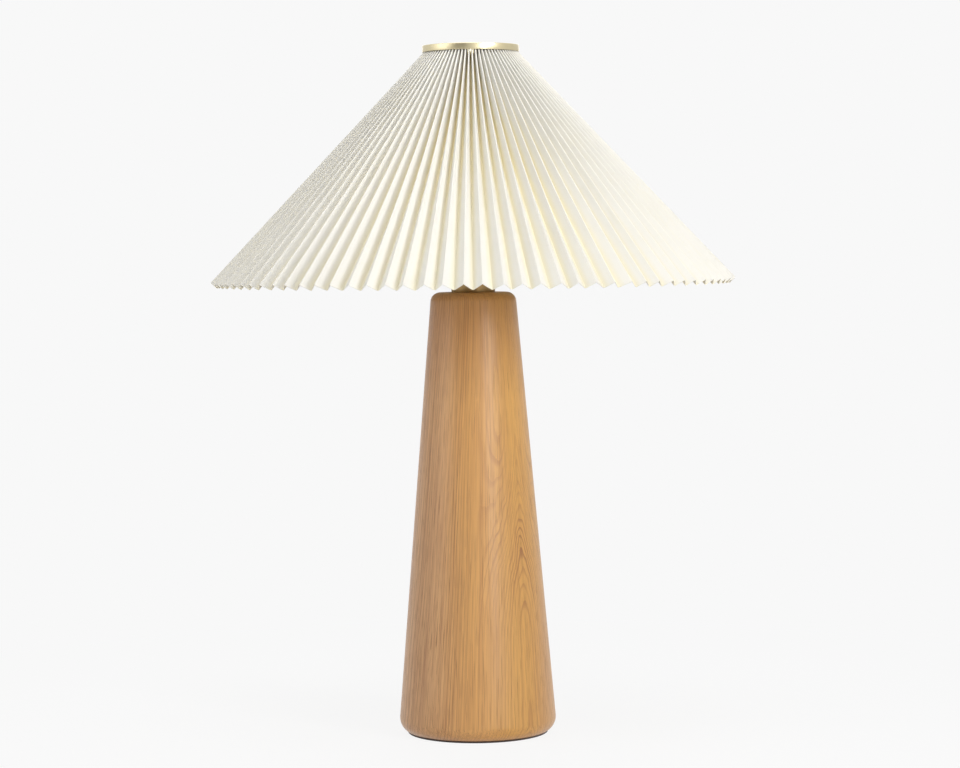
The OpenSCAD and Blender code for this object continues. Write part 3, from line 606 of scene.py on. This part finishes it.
def arc(cx: float, cz: float, r: float, start: float, end: float, steps: int) -> list[Point]:
    """Points of an arc in an outline.

    Args:
        cx: Radius of its centre from the lamp's axis.
        cz: Height of its centre.
        r: Its radius.
        start: Angle of the first point, in degrees.
        end: Angle of the last point, in degrees.
        steps: Number of straight parts.

    Returns:
        The points as radius and height.
    """
    turns = (math.radians(start + (end - start) * i / steps) for i in range(steps + 1))
    return [(cx + r * math.cos(a), cz + r * math.sin(a)) for a in turns]


class Bench:
    """Modelling steps, done on one piece at a time."""

    axis_r: float = 0.001
    weld_gap: float = 0.004

    @staticmethod
    def clear() -> None:
        """Deselects everything, so that a step acts on its own piece only."""
        bpy.ops.object.select_all(action="DESELECT")

    @staticmethod
    def named(name: str) -> bpy.types.Object:
        """Names the mesh that was just added and hands it over."""
        piece = bpy.context.object
        piece.name = piece.data.name = name
        return piece

    @staticmethod
    def weld(gap: float) -> None:
        """Joins points of the active piece closer than a gap in mm and sets its normals right."""
        bpy.ops.object.mode_set(mode="EDIT")
        bpy.ops.mesh.select_all(action="SELECT")
        bpy.ops.mesh.remove_doubles(threshold=gap * MM)
        bpy.ops.mesh.normals_make_consistent(inside=False)
        bpy.ops.object.mode_set(mode="OBJECT")

    @staticmethod
    def turned(name: str, outline: Sequence[Point], closed: bool = True, segments: int = 128,
               sharp: float = 32.0) -> bpy.types.Object:
        """Turns an outline round the lamp's axis, ring by ring.

        Args:
            name: The piece's name.
            outline: Points as radius and height in mm.
            closed: True for a wall that closes on itself, False for a solid from axis to axis.
            segments: Number of sides.
            sharp: Angle in degrees above which an edge stays sharp.

        Returns:
            The finished piece.
        """
        Bench.clear()
        rings = [(max(r, Bench.axis_r), z) for r, z in outline]
        if closed:
            rings.append(rings[0])
        bpy.ops.mesh.primitive_circle_add(vertices=segments, radius=rings[0][0] * MM,
                                          location=(0.0, 0.0, rings[0][1] * MM))
        piece = Bench.named(name)
        bpy.ops.object.transform_apply(location=True, rotation=False, scale=False)
        bpy.ops.object.mode_set(mode="EDIT")
        bpy.ops.mesh.select_all(action="SELECT")
        for (r0, z0), (r1, z1) in zip(rings, rings[1:]):
            bpy.ops.mesh.extrude_region_move(
                TRANSFORM_OT_translate={"value": (0.0, 0.0, (z1 - z0) * MM)})
            bpy.ops.transform.resize(value=(r1 / r0, r1 / r0, 1.0),
                                     center_override=(0.0, 0.0, 0.0))
        Bench.weld(Bench.weld_gap)
        bpy.ops.object.shade_smooth_by_angle(angle=math.radians(sharp))
        return piece

    @staticmethod
    def apply(piece: bpy.types.Object, kind: str, **settings: Any) -> None:
        """Adds one modifier to a piece and applies it."""
        Bench.clear()
        piece.select_set(True)
        bpy.context.view_layer.objects.active = piece
        modifier = piece.modifiers.new(kind.lower(), kind)
        for key, value in settings.items():
            setattr(modifier, key, value)
        bpy.ops.object.modifier_apply(modifier=modifier.name)

    @staticmethod
    def drilled(piece: bpy.types.Object, radius: float, start: Vector, depth: float) -> None:
        """Drills a round hole to the rear, from a start point in mm over a depth in mm."""
        Bench.clear()
        bpy.ops.mesh.primitive_cylinder_add(
            vertices=64, radius=radius * MM, depth=depth * MM,
            location=(start + Vector((0.0, depth / 2, 0.0))) * MM, rotation=(math.pi / 2, 0.0, 0.0))
        drill = bpy.context.object
        bpy.ops.object.transform_apply(location=True, rotation=True, scale=False)
        Bench.apply(piece, "BOOLEAN", object=drill, operation="DIFFERENCE", solver="EXACT")
        bpy.data.objects.remove(drill)

    @staticmethod
    def threaded(piece: bpy.types.Object, low: float, high: float, pitch: float,
                 depth: float) -> None:
        """Rolls a round thread into the walls of a turned piece.

        Args:
            piece: The piece, with rings much closer than the pitch.
            low: Height in mm at which the thread starts.
            high: Height in mm at which it ends.
            pitch: Rise in mm for one turn.
            depth: Depth in mm of its grooves.
        """
        for vertex in piece.data.vertices:
            x, y, z = vertex.co / MM
            fade = min(1.0, max(0.0, (z - low) / pitch), max(0.0, (high - z) / pitch))
            if fade > 0.0:
                turn = math.atan2(y, x) / (2 * math.pi)
                wave = 0.5 - 0.5 * math.cos(2 * math.pi * (z / pitch - turn))
                factor = 1.0 - fade * wave * depth / math.hypot(x, y)
                vertex.co.x *= factor
                vertex.co.y *= factor


def settle(piece: bpy.types.Object, body: Body, slot: Slot, *nodes: str) -> None:
    """Gives a piece its finish and puts it on its body.

    Args:
        piece: The finished mesh.
        body: The body that it moves with.
        slot: The record's slot, which also names its finish.
        nodes: CAD nodes that it stands for.
    """
    piece.data.materials.clear()
    piece.data.materials.append(finish_of(slot))
    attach(piece, body.value)
    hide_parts(*nodes)
    LOG.info("%s: %d faces, on %s, finish %s", piece.name, len(piece.data.polygons), body.value,
             slot.value)


def dress_frame() -> None:
    """Gives every CAD node the finish of its slot in the record."""
    for part in frame["record"]["subparts"]:
        piece = frame["nodes"][part["node"]]
        finish = finish_of(Slot(part["material_slot"]))
        if not piece.material_slots:
            piece.data.materials.append(finish)
        for held in piece.material_slots:
            held.material = finish


# ---- the lamp ----


@dataclass
class TurnedColumn:
    """Tapered column with rounded edges, on its felt pad. Sizes in mm."""

    felt_t: float = 2.0
    height: float = 406.5
    foot_r: float = 73.5
    top_r: float = 39.0
    top_edge_r: float = 9.0
    foot_edge_r: float = 14.0
    foot_edge_h: float = 12.0
    recess_r: float = 30.0
    recess_h: float = 28.0
    bore_r: float = 5.4
    side_rings: int = 12
    felt_margin: float = 0.5
    felt_edge_r: float = 0.9
    felt_bulge: float = 0.5
    outlet_up: float = 18.0
    outlet_r: float = 5.48
    outlet_start: float = 10.0
    flat_r: float = 7.6
    flat_depth: float = 0.2

    def __post_init__(self) -> None:
        """Works out the taper and the centres of the rounded edges."""
        self.taper = math.atan((self.foot_r - self.top_r) / self.height)
        self.top_z = self.felt_t + self.height
        self.foot_arc_z = self.felt_t + self.foot_edge_h
        self.top_arc_z = self.top_z - self.top_edge_r
        self.foot_arc_r = self.side_r(self.foot_arc_z) - self.foot_edge_r / math.cos(self.taper)
        self.top_arc_r = self.side_r(self.top_arc_z) - self.top_edge_r / math.cos(self.taper)
        self.underside_r = self.foot_arc_r + math.sqrt(self.foot_edge_r**2 - self.foot_edge_h**2)

    def side_r(self, height: float) -> float:
        """Radius of the straight side at a height."""
        return self.foot_r - (height - self.felt_t) * math.tan(self.taper)

    def build(self) -> None:
        """Makes the wood and the felt."""
        taper = math.degrees(self.taper)
        corner = -math.degrees(math.asin(self.foot_edge_h / self.foot_edge_r))
        foot = arc(self.foot_arc_r, self.foot_arc_z, self.foot_edge_r, corner, taper, steps=12)
        top = arc(self.top_arc_r, self.top_arc_z, self.top_edge_r, taper, 90.0, steps=14)
        (x0, z0), (x1, z1) = foot[-1], top[0]
        shares = (i / self.side_rings for i in range(1, self.side_rings))
        side = [(x0 + (x1 - x0) * share, z0 + (z1 - z0) * share) for share in shares]
        roof = self.felt_t + self.recess_h
        outline = [(self.recess_r, self.felt_t)] + foot + side + top
        outline += [(self.bore_r, self.top_z), (self.bore_r, roof), (self.recess_r, roof)]
        wood = Bench.turned("turned_column", outline, segments=192)
        height = self.felt_t + self.outlet_up
        rim = self.side_r(height + self.flat_r)
        flat_y = math.sqrt(rim**2 - self.flat_r**2) - self.flat_depth
        Bench.drilled(wood, self.flat_r, Vector((0.0, flat_y, height)), self.foot_edge_r)
        Bench.drilled(wood, self.outlet_r, Vector((0.0, self.outlet_start, height)), self.foot_r)
        settle(wood, Body.ROOT, Slot.WOOD, "wood_column")
        self.felt()

    def felt(self) -> None:
        """Makes the pad, whose cut edge bulges a little under the weight."""
        edge = self.underside_r - self.felt_margin
        bend = self.felt_edge_r
        outline = [(0.0, 0.0), (edge / 2, 0.0)] + arc(edge - bend, bend, bend, -90.0, 40.0, steps=5)
        outline += [(edge - self.felt_bulge, self.felt_t), (edge / 2, self.felt_t),
                    (0.0, self.felt_t)]
        pad = Bench.turned("foot_felt", outline, closed=False, segments=160)
        settle(pad, Body.ROOT, Slot.FELT, "felt_pad")


@dataclass
class BrassNeck:
    """Cup that caps the column round the pipe. Sizes in mm."""

    foot_z: float = 408.5
    height: float = 12.0
    radius: float = 21.0
    foot_in: float = 1.0
    foot_edge_r: float = 0.25
    edge_r: float = 3.0
    wall: float = 1.2
    hole_r: float = 5.4

    def build(self) -> None:
        """Makes the cup with a rolled foot and a rounded shoulder."""
        foot = self.radius - self.foot_in
        top = self.foot_z + self.height
        roll = self.foot_edge_r
        outer = arc(foot - roll, self.foot_z + roll, roll, -90.0, 0.0, steps=3)
        centre = (self.radius - self.edge_r, top - self.edge_r)
        outer += arc(*centre, self.edge_r, 0.0, 90.0, steps=10)
        inner = arc(*centre, self.edge_r - self.wall, 90.0, 0.0, steps=6)
        outline = outer + [(self.hole_r, top), (self.hole_r, top - self.wall)]
        outline += inner + [(foot - self.wall, self.foot_z)]
        cup = Bench.turned("neck_cup_turned", outline)
        settle(cup, Body.ROOT, Slot.DARK_BRASS, "neck_cup")


@dataclass
class PleatedShade:
    """Cone of one folded sheet under a brass ring. Sizes in mm.

    The outer folds lie on a cone. The depth of a pleat follows from the width of its faces
    and from the spacing of the folds, so the pleats are deepest at the top.
    """

    rim_r: float = 241.3
    rim_z: float = 420.0
    ring_z: float = 629.0
    fold_turn_r: float = 43.5
    fold_top_z: float = 634.0
    pleats: int = 90
    face: float = 11.2
    sheet_t: float = 0.42
    rows: int = 20
    bend_r: float = 0.6
    bend_steps: int = 4
    flat_stops: tuple[float, ...] = (0.1, 0.9)
    uneven: float = 0.16
    slack: float = 0.05
    loosening: float = 1.5
    weld_gap: float = 0.01
    sharp: float = 40.0
    ring_r: float = 44.5
    ring_h: float = 6.0
    ring_wall: float = 0.8
    ring_flange: float = 7.5
    ring_foot_r: float = 0.15
    ring_edge_r: float = 0.5
    ring_lip_r: float = 0.2
    ring_bevel: float = 0.3
    halvings: int = 40
    seed: int = 11

    def __post_init__(self) -> None:
        """Works out the cone from its two ends."""
        self.lean = math.atan((self.rim_r - self.fold_turn_r) / (self.ring_z - self.rim_z))
        self.top_r = self.fold_turn_r - (self.fold_top_z - self.ring_z) * math.tan(self.lean)
        self.slant = (self.rim_r - self.top_r) / math.sin(self.lean)
        self.half_turn = math.pi / self.pleats

    def fold_r(self, share: float) -> float:
        """Radius of the outer folds at a share of the slant, 0 at the rim and 1 at the top."""
        return self.rim_r + (self.top_r - self.rim_r) * share

    def lean_of_faces(self, share: float) -> float:
        """Angle in radians between a face and the cone, with both its folds bent round."""
        half_pitch = self.fold_r(share) * math.sin(self.half_turn)
        low, high = 0.0, math.pi / 2
        for _ in range(self.halvings):
            angle = (low + high) / 2
            flat = self.face - 2 * self.bend_r * angle
            reach = 2 * self.bend_r * math.sin(angle) + flat * math.cos(angle)
            low, high = (angle, high) if reach > half_pitch else (low, angle)
        return angle

    def section(self, share: float) -> list[Triple]:
        """Works out one face from an outer to an inner fold, cut square to the slant.

        Args:
            share: Share of the slant, 0 at the rim and 1 at the top.

        Returns:
            For each point its place along the face, its way sideways and its depth, the first
            two as shares of the whole and the depth in mm.
        """
        angle = self.lean_of_faces(share)
        bent, flat = self.bend_r * angle, self.face - 2 * self.bend_r * angle
        points = []
        for k in range(self.bend_steps + 1):
            turn = angle * k / self.bend_steps
            points.append((self.bend_r * turn, self.bend_r * math.sin(turn),
                           self.bend_r * (1 - math.cos(turn))))
        x, d = points[-1][1:]
        for part in self.flat_stops:
            points.append((bent + flat * part, x + flat * part * math.cos(angle),
                           d + flat * part * math.sin(angle)))
        wide, deep = 2 * x + flat * math.cos(angle), 2 * d + flat * math.sin(angle)
        for along, side, down in points[self.bend_steps::-1]:
            points.append((self.face - along, wide - side, deep - down))
        return [(along / self.face, side / wide, down) for along, side, down in points]

    def build(self) -> None:
        """Makes the sheet and the ring."""
        self.sheet()
        self.ring()

    def sheet(self) -> None:
        """Folds a flat grid round the cone and gives it the sheet's thickness."""
        sections = [self.section(i / self.rows) for i in range(self.rows + 1)]
        per_face = len(sections[0]) - 1
        faces = 2 * self.pleats
        columns = faces * per_face
        draw = random.Random(self.seed)
        shift = [draw.uniform(-self.uneven, self.uneven) for _ in range(faces)]
        slack = [draw.uniform(0.0, self.slack) for _ in range(faces)]
        Bench.clear()
        bpy.ops.mesh.primitive_grid_add(x_subdivisions=columns, y_subdivisions=self.rows, size=1.0)
        piece = Bench.named("pleated_cone")
        mesh = piece.data
        place: list[Point] = []
        for vertex in mesh.vertices:
            column = round((vertex.co.x + 0.5) * columns)
            row = round((vertex.co.y + 0.5) * self.rows)
            share = row / self.rows
            index, k = divmod(column, per_face)
            inward = index % 2 == 0
            along, side, down = sections[row][k if inward else per_face - k]
            if not inward:
                along, side = 1 - along, 1 - side
            place.append(((index + along) / faces, share))
            first, second = index % faces, (index + 1) % faces
            loose = (1 - share) ** self.loosening
            turn = index + side + loose * (shift[first] * (1 - side) + shift[second] * side)
            depth = down * (1 - loose * (slack[first] * (1 - side) + slack[second] * side))
            radius = self.fold_r(share) - depth * math.cos(self.lean)
            height = self.rim_z + self.slant * share * math.cos(self.lean)
            height -= depth * math.sin(self.lean)
            angle = -math.pi / 2 + (turn + 1) * self.half_turn
            vertex.co = Vector((radius * math.cos(angle), radius * math.sin(angle), height)) * MM
        layer = mesh.uv_layers.active.data
        for loop in mesh.loops:
            layer[loop.index].uv = place[loop.vertex_index]
        Bench.weld(self.weld_gap)
        outward = sum(f.normal.dot(Vector((f.center.x, f.center.y, 0.0))) * f.area
                      for f in mesh.polygons)
        if outward < 0:
            mesh.flip_normals()
        Bench.apply(piece, "SOLIDIFY", thickness=self.sheet_t * MM, offset=-1.0,
                    use_even_offset=True, thickness_clamp=1.2)
        Bench.clear()
        piece.select_set(True)
        bpy.ops.object.shade_smooth_by_angle(angle=math.radians(self.sharp))
        settle(piece, Body.SHADE, Slot.SHADE, "pleated_sheet")

    def ring(self) -> None:
        """Makes the brass ring with its inward flange and a slightly rounded upper edge."""
        low, top = self.ring_z, self.ring_z + self.ring_h
        inner = self.ring_r - self.ring_wall
        lip = inner - self.ring_flange
        under = top - self.ring_wall
        foot_r, edge_r, lip_r = self.ring_foot_r, self.ring_edge_r, self.ring_lip_r
        outline = arc(self.ring_r - foot_r, low + foot_r, foot_r, -90.0, 0.0, steps=2)
        outline += arc(self.ring_r - edge_r, top - edge_r, edge_r, 0.0, 90.0, steps=5)
        outline += arc(lip + lip_r, top - lip_r, lip_r, 90.0, 180.0, steps=2)
        outline += [(lip, under), (inner - self.ring_bevel, under),
                    (inner, under - self.ring_bevel), (inner, low)]
        band = Bench.turned("brass_ring", outline, segments=160)
        settle(band, Body.SHADE, Slot.BRASS, "shade_ring")


@dataclass
class Bulb:
    """Bulb with a ball of opal glass on a rolled screw cap. Sizes in mm."""

    foot_z: float = 465.0
    length: float = 108.0
    ball_r: float = 30.0
    neck_r: float = 13.2
    neck_bend: float = 45.0
    cap_r: float = 12.9
    cap_h: float = 21.0
    cap_wall: float = 0.4
    cap_gap: float = 0.2
    cap_lip: float = 2.0
    cap_foot_h: float = 2.0
    cap_rows: int = 60
    sleeve_h: float = 8.0
    insulator_r: float = 11.4
    insulator_top: float = 4.2
    thread_pitch: float = 3.63
    thread_depth: float = 0.75
    thread_end: float = 2.5
    glass_t: float = 0.8

    def build(self) -> None:
        """Makes the glass and the cap."""
        self.glass()
        self.cap()

    def glass(self) -> None:
        """Makes the glass as one wall, from the sleeve inside the cap to the top."""
        ball_z = self.foot_z + self.length - self.ball_r
        bend_x = self.neck_r + self.neck_bend
        reach = self.ball_r + self.neck_bend
        bend_z = ball_z - math.sqrt(reach**2 - bend_x**2)
        turn = math.degrees(math.asin((ball_z - bend_z) / reach))
        cap_top = self.foot_z + self.insulator_top + self.cap_h
        glass_z = cap_top + self.cap_gap
        sleeve = self.cap_r - self.cap_wall - self.cap_gap

        def side(inset: float) -> list[Point]:
            """Outline from the neck to the top, drawn in by the inset."""
            lower = arc(bend_x, bend_z, self.neck_bend + inset, 180.0, 180.0 - turn, steps=14)
            return lower + arc(0.0, ball_z, self.ball_r - inset, -turn, 90.0, steps=30)

        sleeve_z = cap_top - self.sleeve_h
        outline = [(sleeve - self.glass_t, sleeve_z), (sleeve, sleeve_z), (sleeve, glass_z),
                   (self.neck_r, glass_z)]
        outline += side(0.0) + side(self.glass_t)[::-1]
        outline += [(sleeve - self.glass_t, glass_z + self.glass_t)]
        glass = Bench.turned("bulb_ball", outline, segments=96)
        settle(glass, Body.BULB, Slot.OPAL, "bulb_glass")

    def cap(self) -> None:
        """Makes the screw cap and rolls its thread."""
        low = self.foot_z + self.insulator_top
        high = low + self.cap_h
        start = low + self.cap_foot_h
        wall = [(self.cap_r, start + (high - start) * i / self.cap_rows)
                for i in range(self.cap_rows + 1)]
        back = [(r - self.cap_wall, z) for r, z in wall[::-1]]
        hole = self.insulator_r - self.cap_lip
        outline = [(hole, low), (self.insulator_r, low)] + wall + back
        outline += [(hole, low + self.cap_wall)]
        cap = Bench.turned("bulb_screw_cap", outline, segments=72, sharp=50.0)
        Bench.threaded(cap, start, high - self.thread_end, self.thread_pitch, self.thread_depth)
        settle(cap, Body.BULB, Slot.BULB_METAL, "bulb_cap")


@dataclass
class Finial:
    """Small ball finial that holds the shade down. Sizes in mm."""

    foot_z: float = 616.9
    height: float = 17.0
    ball_r: float = 6.5
    foot_r: float = 8.0
    waist_r: float = 4.6
    foot_t: float = 1.2
    foot_edge_r: float = 0.3
    bore_r: float = 3.18
    bore_h: float = 9.5

    def build(self) -> None:
        """Makes the finial with its foot, cove, ball and threaded hole."""
        ball_z = self.foot_z + self.height - self.ball_r
        cove = self.foot_r - self.waist_r
        turn = math.degrees(math.acos(self.waist_r / self.ball_r))
        bend, foot_top = self.foot_edge_r, self.foot_z + self.foot_t
        outline = [(self.bore_r, self.foot_z)]
        outline += arc(self.foot_r - bend, self.foot_z + bend, bend, -90.0, 0.0, steps=3)
        outline += arc(self.foot_r - bend, foot_top - bend, bend, 0.0, 90.0, steps=3)
        outline += arc(self.foot_r, foot_top + cove, cove, -94.0, -180.0, steps=10)
        outline += arc(0.0, ball_z, self.ball_r, -turn, 90.0, steps=20)
        outline += [(0.0, self.foot_z + self.bore_h), (self.bore_r, self.foot_z + self.bore_h)]
        knob = Bench.turned("ball_finial", outline, segments=80)
        settle(knob, Body.FINIAL, Slot.BRASS, "finial")


# ---- the studio ----


@dataclass(frozen=True)
class SoftBox:
    """Area lamp, in metres and watts."""

    name: str
    place: Triple
    width: float
    height: float
    power: float

    def build(self, target: Triple) -> None:
        """Adds the lamp, facing its target."""
        data = bpy.data.lights.new(self.name, "AREA")
        data.shape, data.size, data.size_y = "RECTANGLE", self.width, self.height
        data.energy = self.power
        light = bpy.data.objects.new(self.name, data)
        bpy.context.scene.collection.objects.link(light)
        aim = Vector(target) - Vector(self.place)
        light.matrix_world = (Matrix.Translation(self.place)
                              @ aim.to_track_quat("-Z", "Y").to_matrix().to_4x4())


@dataclass(frozen=True)
class Studio:
    """Camera, soft lamps, a pale floor and a white surround. Sizes in metres."""

    white: float = 0.939
    ambient: float = 0.14
    camera_place: Triple = (0.00527, -2.600, 0.4621)
    pitch: float = 0.0533
    roll: float = -0.011
    lens: float = 105.555
    sensor: float = 36.0
    soft_boxes: tuple[SoftBox, ...] = (
        SoftBox("key_light", (1.65, -1.65, 1.10), 0.5, 0.9, 20.0),
        SoftBox("low_key_light", (1.165, -2.02, 0.55), 0.5, 0.9, 10.0),
        SoftBox("fill_light", (-1.9, -1.1, 1.0), 1.6, 1.6, 9.5),
        SoftBox("side_light", (-2.3, -0.4, 0.9), 1.6, 1.6, 5.0),
        SoftBox("top_light", (0.0, -0.3, 1.5), 1.0, 1.0, 8.6),
        SoftBox("rear_light", (0.0, 2.3, 1.3), 1.8, 1.8, 18.0))
    target: Triple = (0.0, 0.0, 0.33)
    floor_size: float = 60.0
    floor_albedo: float = 0.80
    speck_albedo: float = 0.985
    speck_lumps: Scale = 30.0
    shadow_zone: Point = (0.75, 0.15)
    kept_shadow: float = 0.12
    floor_lit: float = 0.48
    card_size: Triple = (1.7, 2.2, 1.0)
    card_turn: float = -28.0
    card_away: float = 2.2
    card_up: float = 0.7
    card_colour: Colour = (0.22, 0.21, 0.20, 1.0)

    def build(self) -> None:
        """Sets up everything round the lamp."""
        bpy.context.scene.view_settings.view_transform = "Standard"
        self.camera()
        self.surround()
        self.floor()
        for soft_box in self.soft_boxes:
            soft_box.build(self.target)
        self.dark_card()

    def camera(self) -> None:
        """Puts the camera where the photograph was taken."""
        data = bpy.data.cameras.new("camera")
        data.sensor_width, data.lens = self.sensor, self.lens
        camera = bpy.data.objects.new("camera", data)
        bpy.context.scene.collection.objects.link(camera)
        tilt = Matrix.Rotation(math.pi / 2 - self.pitch, 4, "X")
        spin = Matrix.Rotation(self.roll, 4, "Z")
        camera.matrix_world = Matrix.Translation(self.camera_place) @ tilt @ spin
        bpy.context.scene.camera = camera

    def surround(self) -> None:
        """White for the camera, gloss and glass, and plain soft light for all else."""
        sh = Shader("surround", world=True)
        camera, gloss, glass = sh.rays()
        colour = sh.mix(camera.most(gloss).most(glass), grey(self.ambient), grey(self.white))
        back = sh.node("ShaderNodeBackground", None, {"Color": colour})
        bpy.context.scene.world = sh.finish(back)

    def floor(self) -> None:
        """Adds the floor, which the camera sees as white with a faint shadow near the foot."""
        Bench.clear()
        bpy.ops.mesh.primitive_plane_add(size=self.floor_size)
        ground = Bench.named("studio_floor")
        sh = Shader("pale_floor")
        place = sh.coords()
        x, y = sh.axis(place, "X"), sh.axis(place, "Y")
        kept = sh.step((x * x + y * y) ** 0.5, *self.shadow_zone) * self.kept_shadow
        pale = sh.mix(sh.noise(self.speck_lumps), grey(self.floor_albedo),
                      grey(self.floor_albedo * self.speck_albedo))
        matt = sh.node("ShaderNodeBsdfDiffuse", None, {"Color": pale})
        even = (self.white - kept * self.floor_lit) / (1.0 - kept)
        white = sh.node("ShaderNodeEmission", None, {"Color": even})
        camera, gloss, glass = sh.rays()
        share = (camera * (1.0 - kept)).most(gloss).most(glass)
        ground.data.materials.append(
            sh.finish(sh.node("ShaderNodeMixShader", None, {0: share, 1: matt, 2: white})))

    def dark_card(self) -> None:
        """Adds the unlit side of the studio, which only shows as a soft dark band in metal."""
        Bench.clear()
        bpy.ops.mesh.primitive_plane_add(size=1.0)
        card = Bench.named("studio_dark_card")
        card.scale = self.card_size
        turn = math.radians(self.card_turn)
        card.location = (math.sin(turn) * self.card_away, -math.cos(turn) * self.card_away,
                         self.card_up)
        card.rotation_euler = (math.pi / 2, 0.0, turn)
        bpy.ops.object.transform_apply(location=True, rotation=True, scale=True)
        sh = Shader("unlit_card")
        card.data.materials.append(
            sh.finish(sh.node("ShaderNodeEmission", None, {"Color": self.card_colour})))
        card.visible_camera = card.visible_diffuse = card.visible_shadow = False
        card.visible_transmission = False


def main() -> None:
    """Sets up the studio, dresses the frame and builds each part of the lamp."""
    logging.basicConfig(level=logging.INFO, format="%(name)s: %(message)s")
    Studio().build()
    dress_frame()
    for maker in (TurnedColumn, BrassNeck, PleatedShade, Bulb, Finial):
        maker().build()


if __name__ == "__main__":
    main()
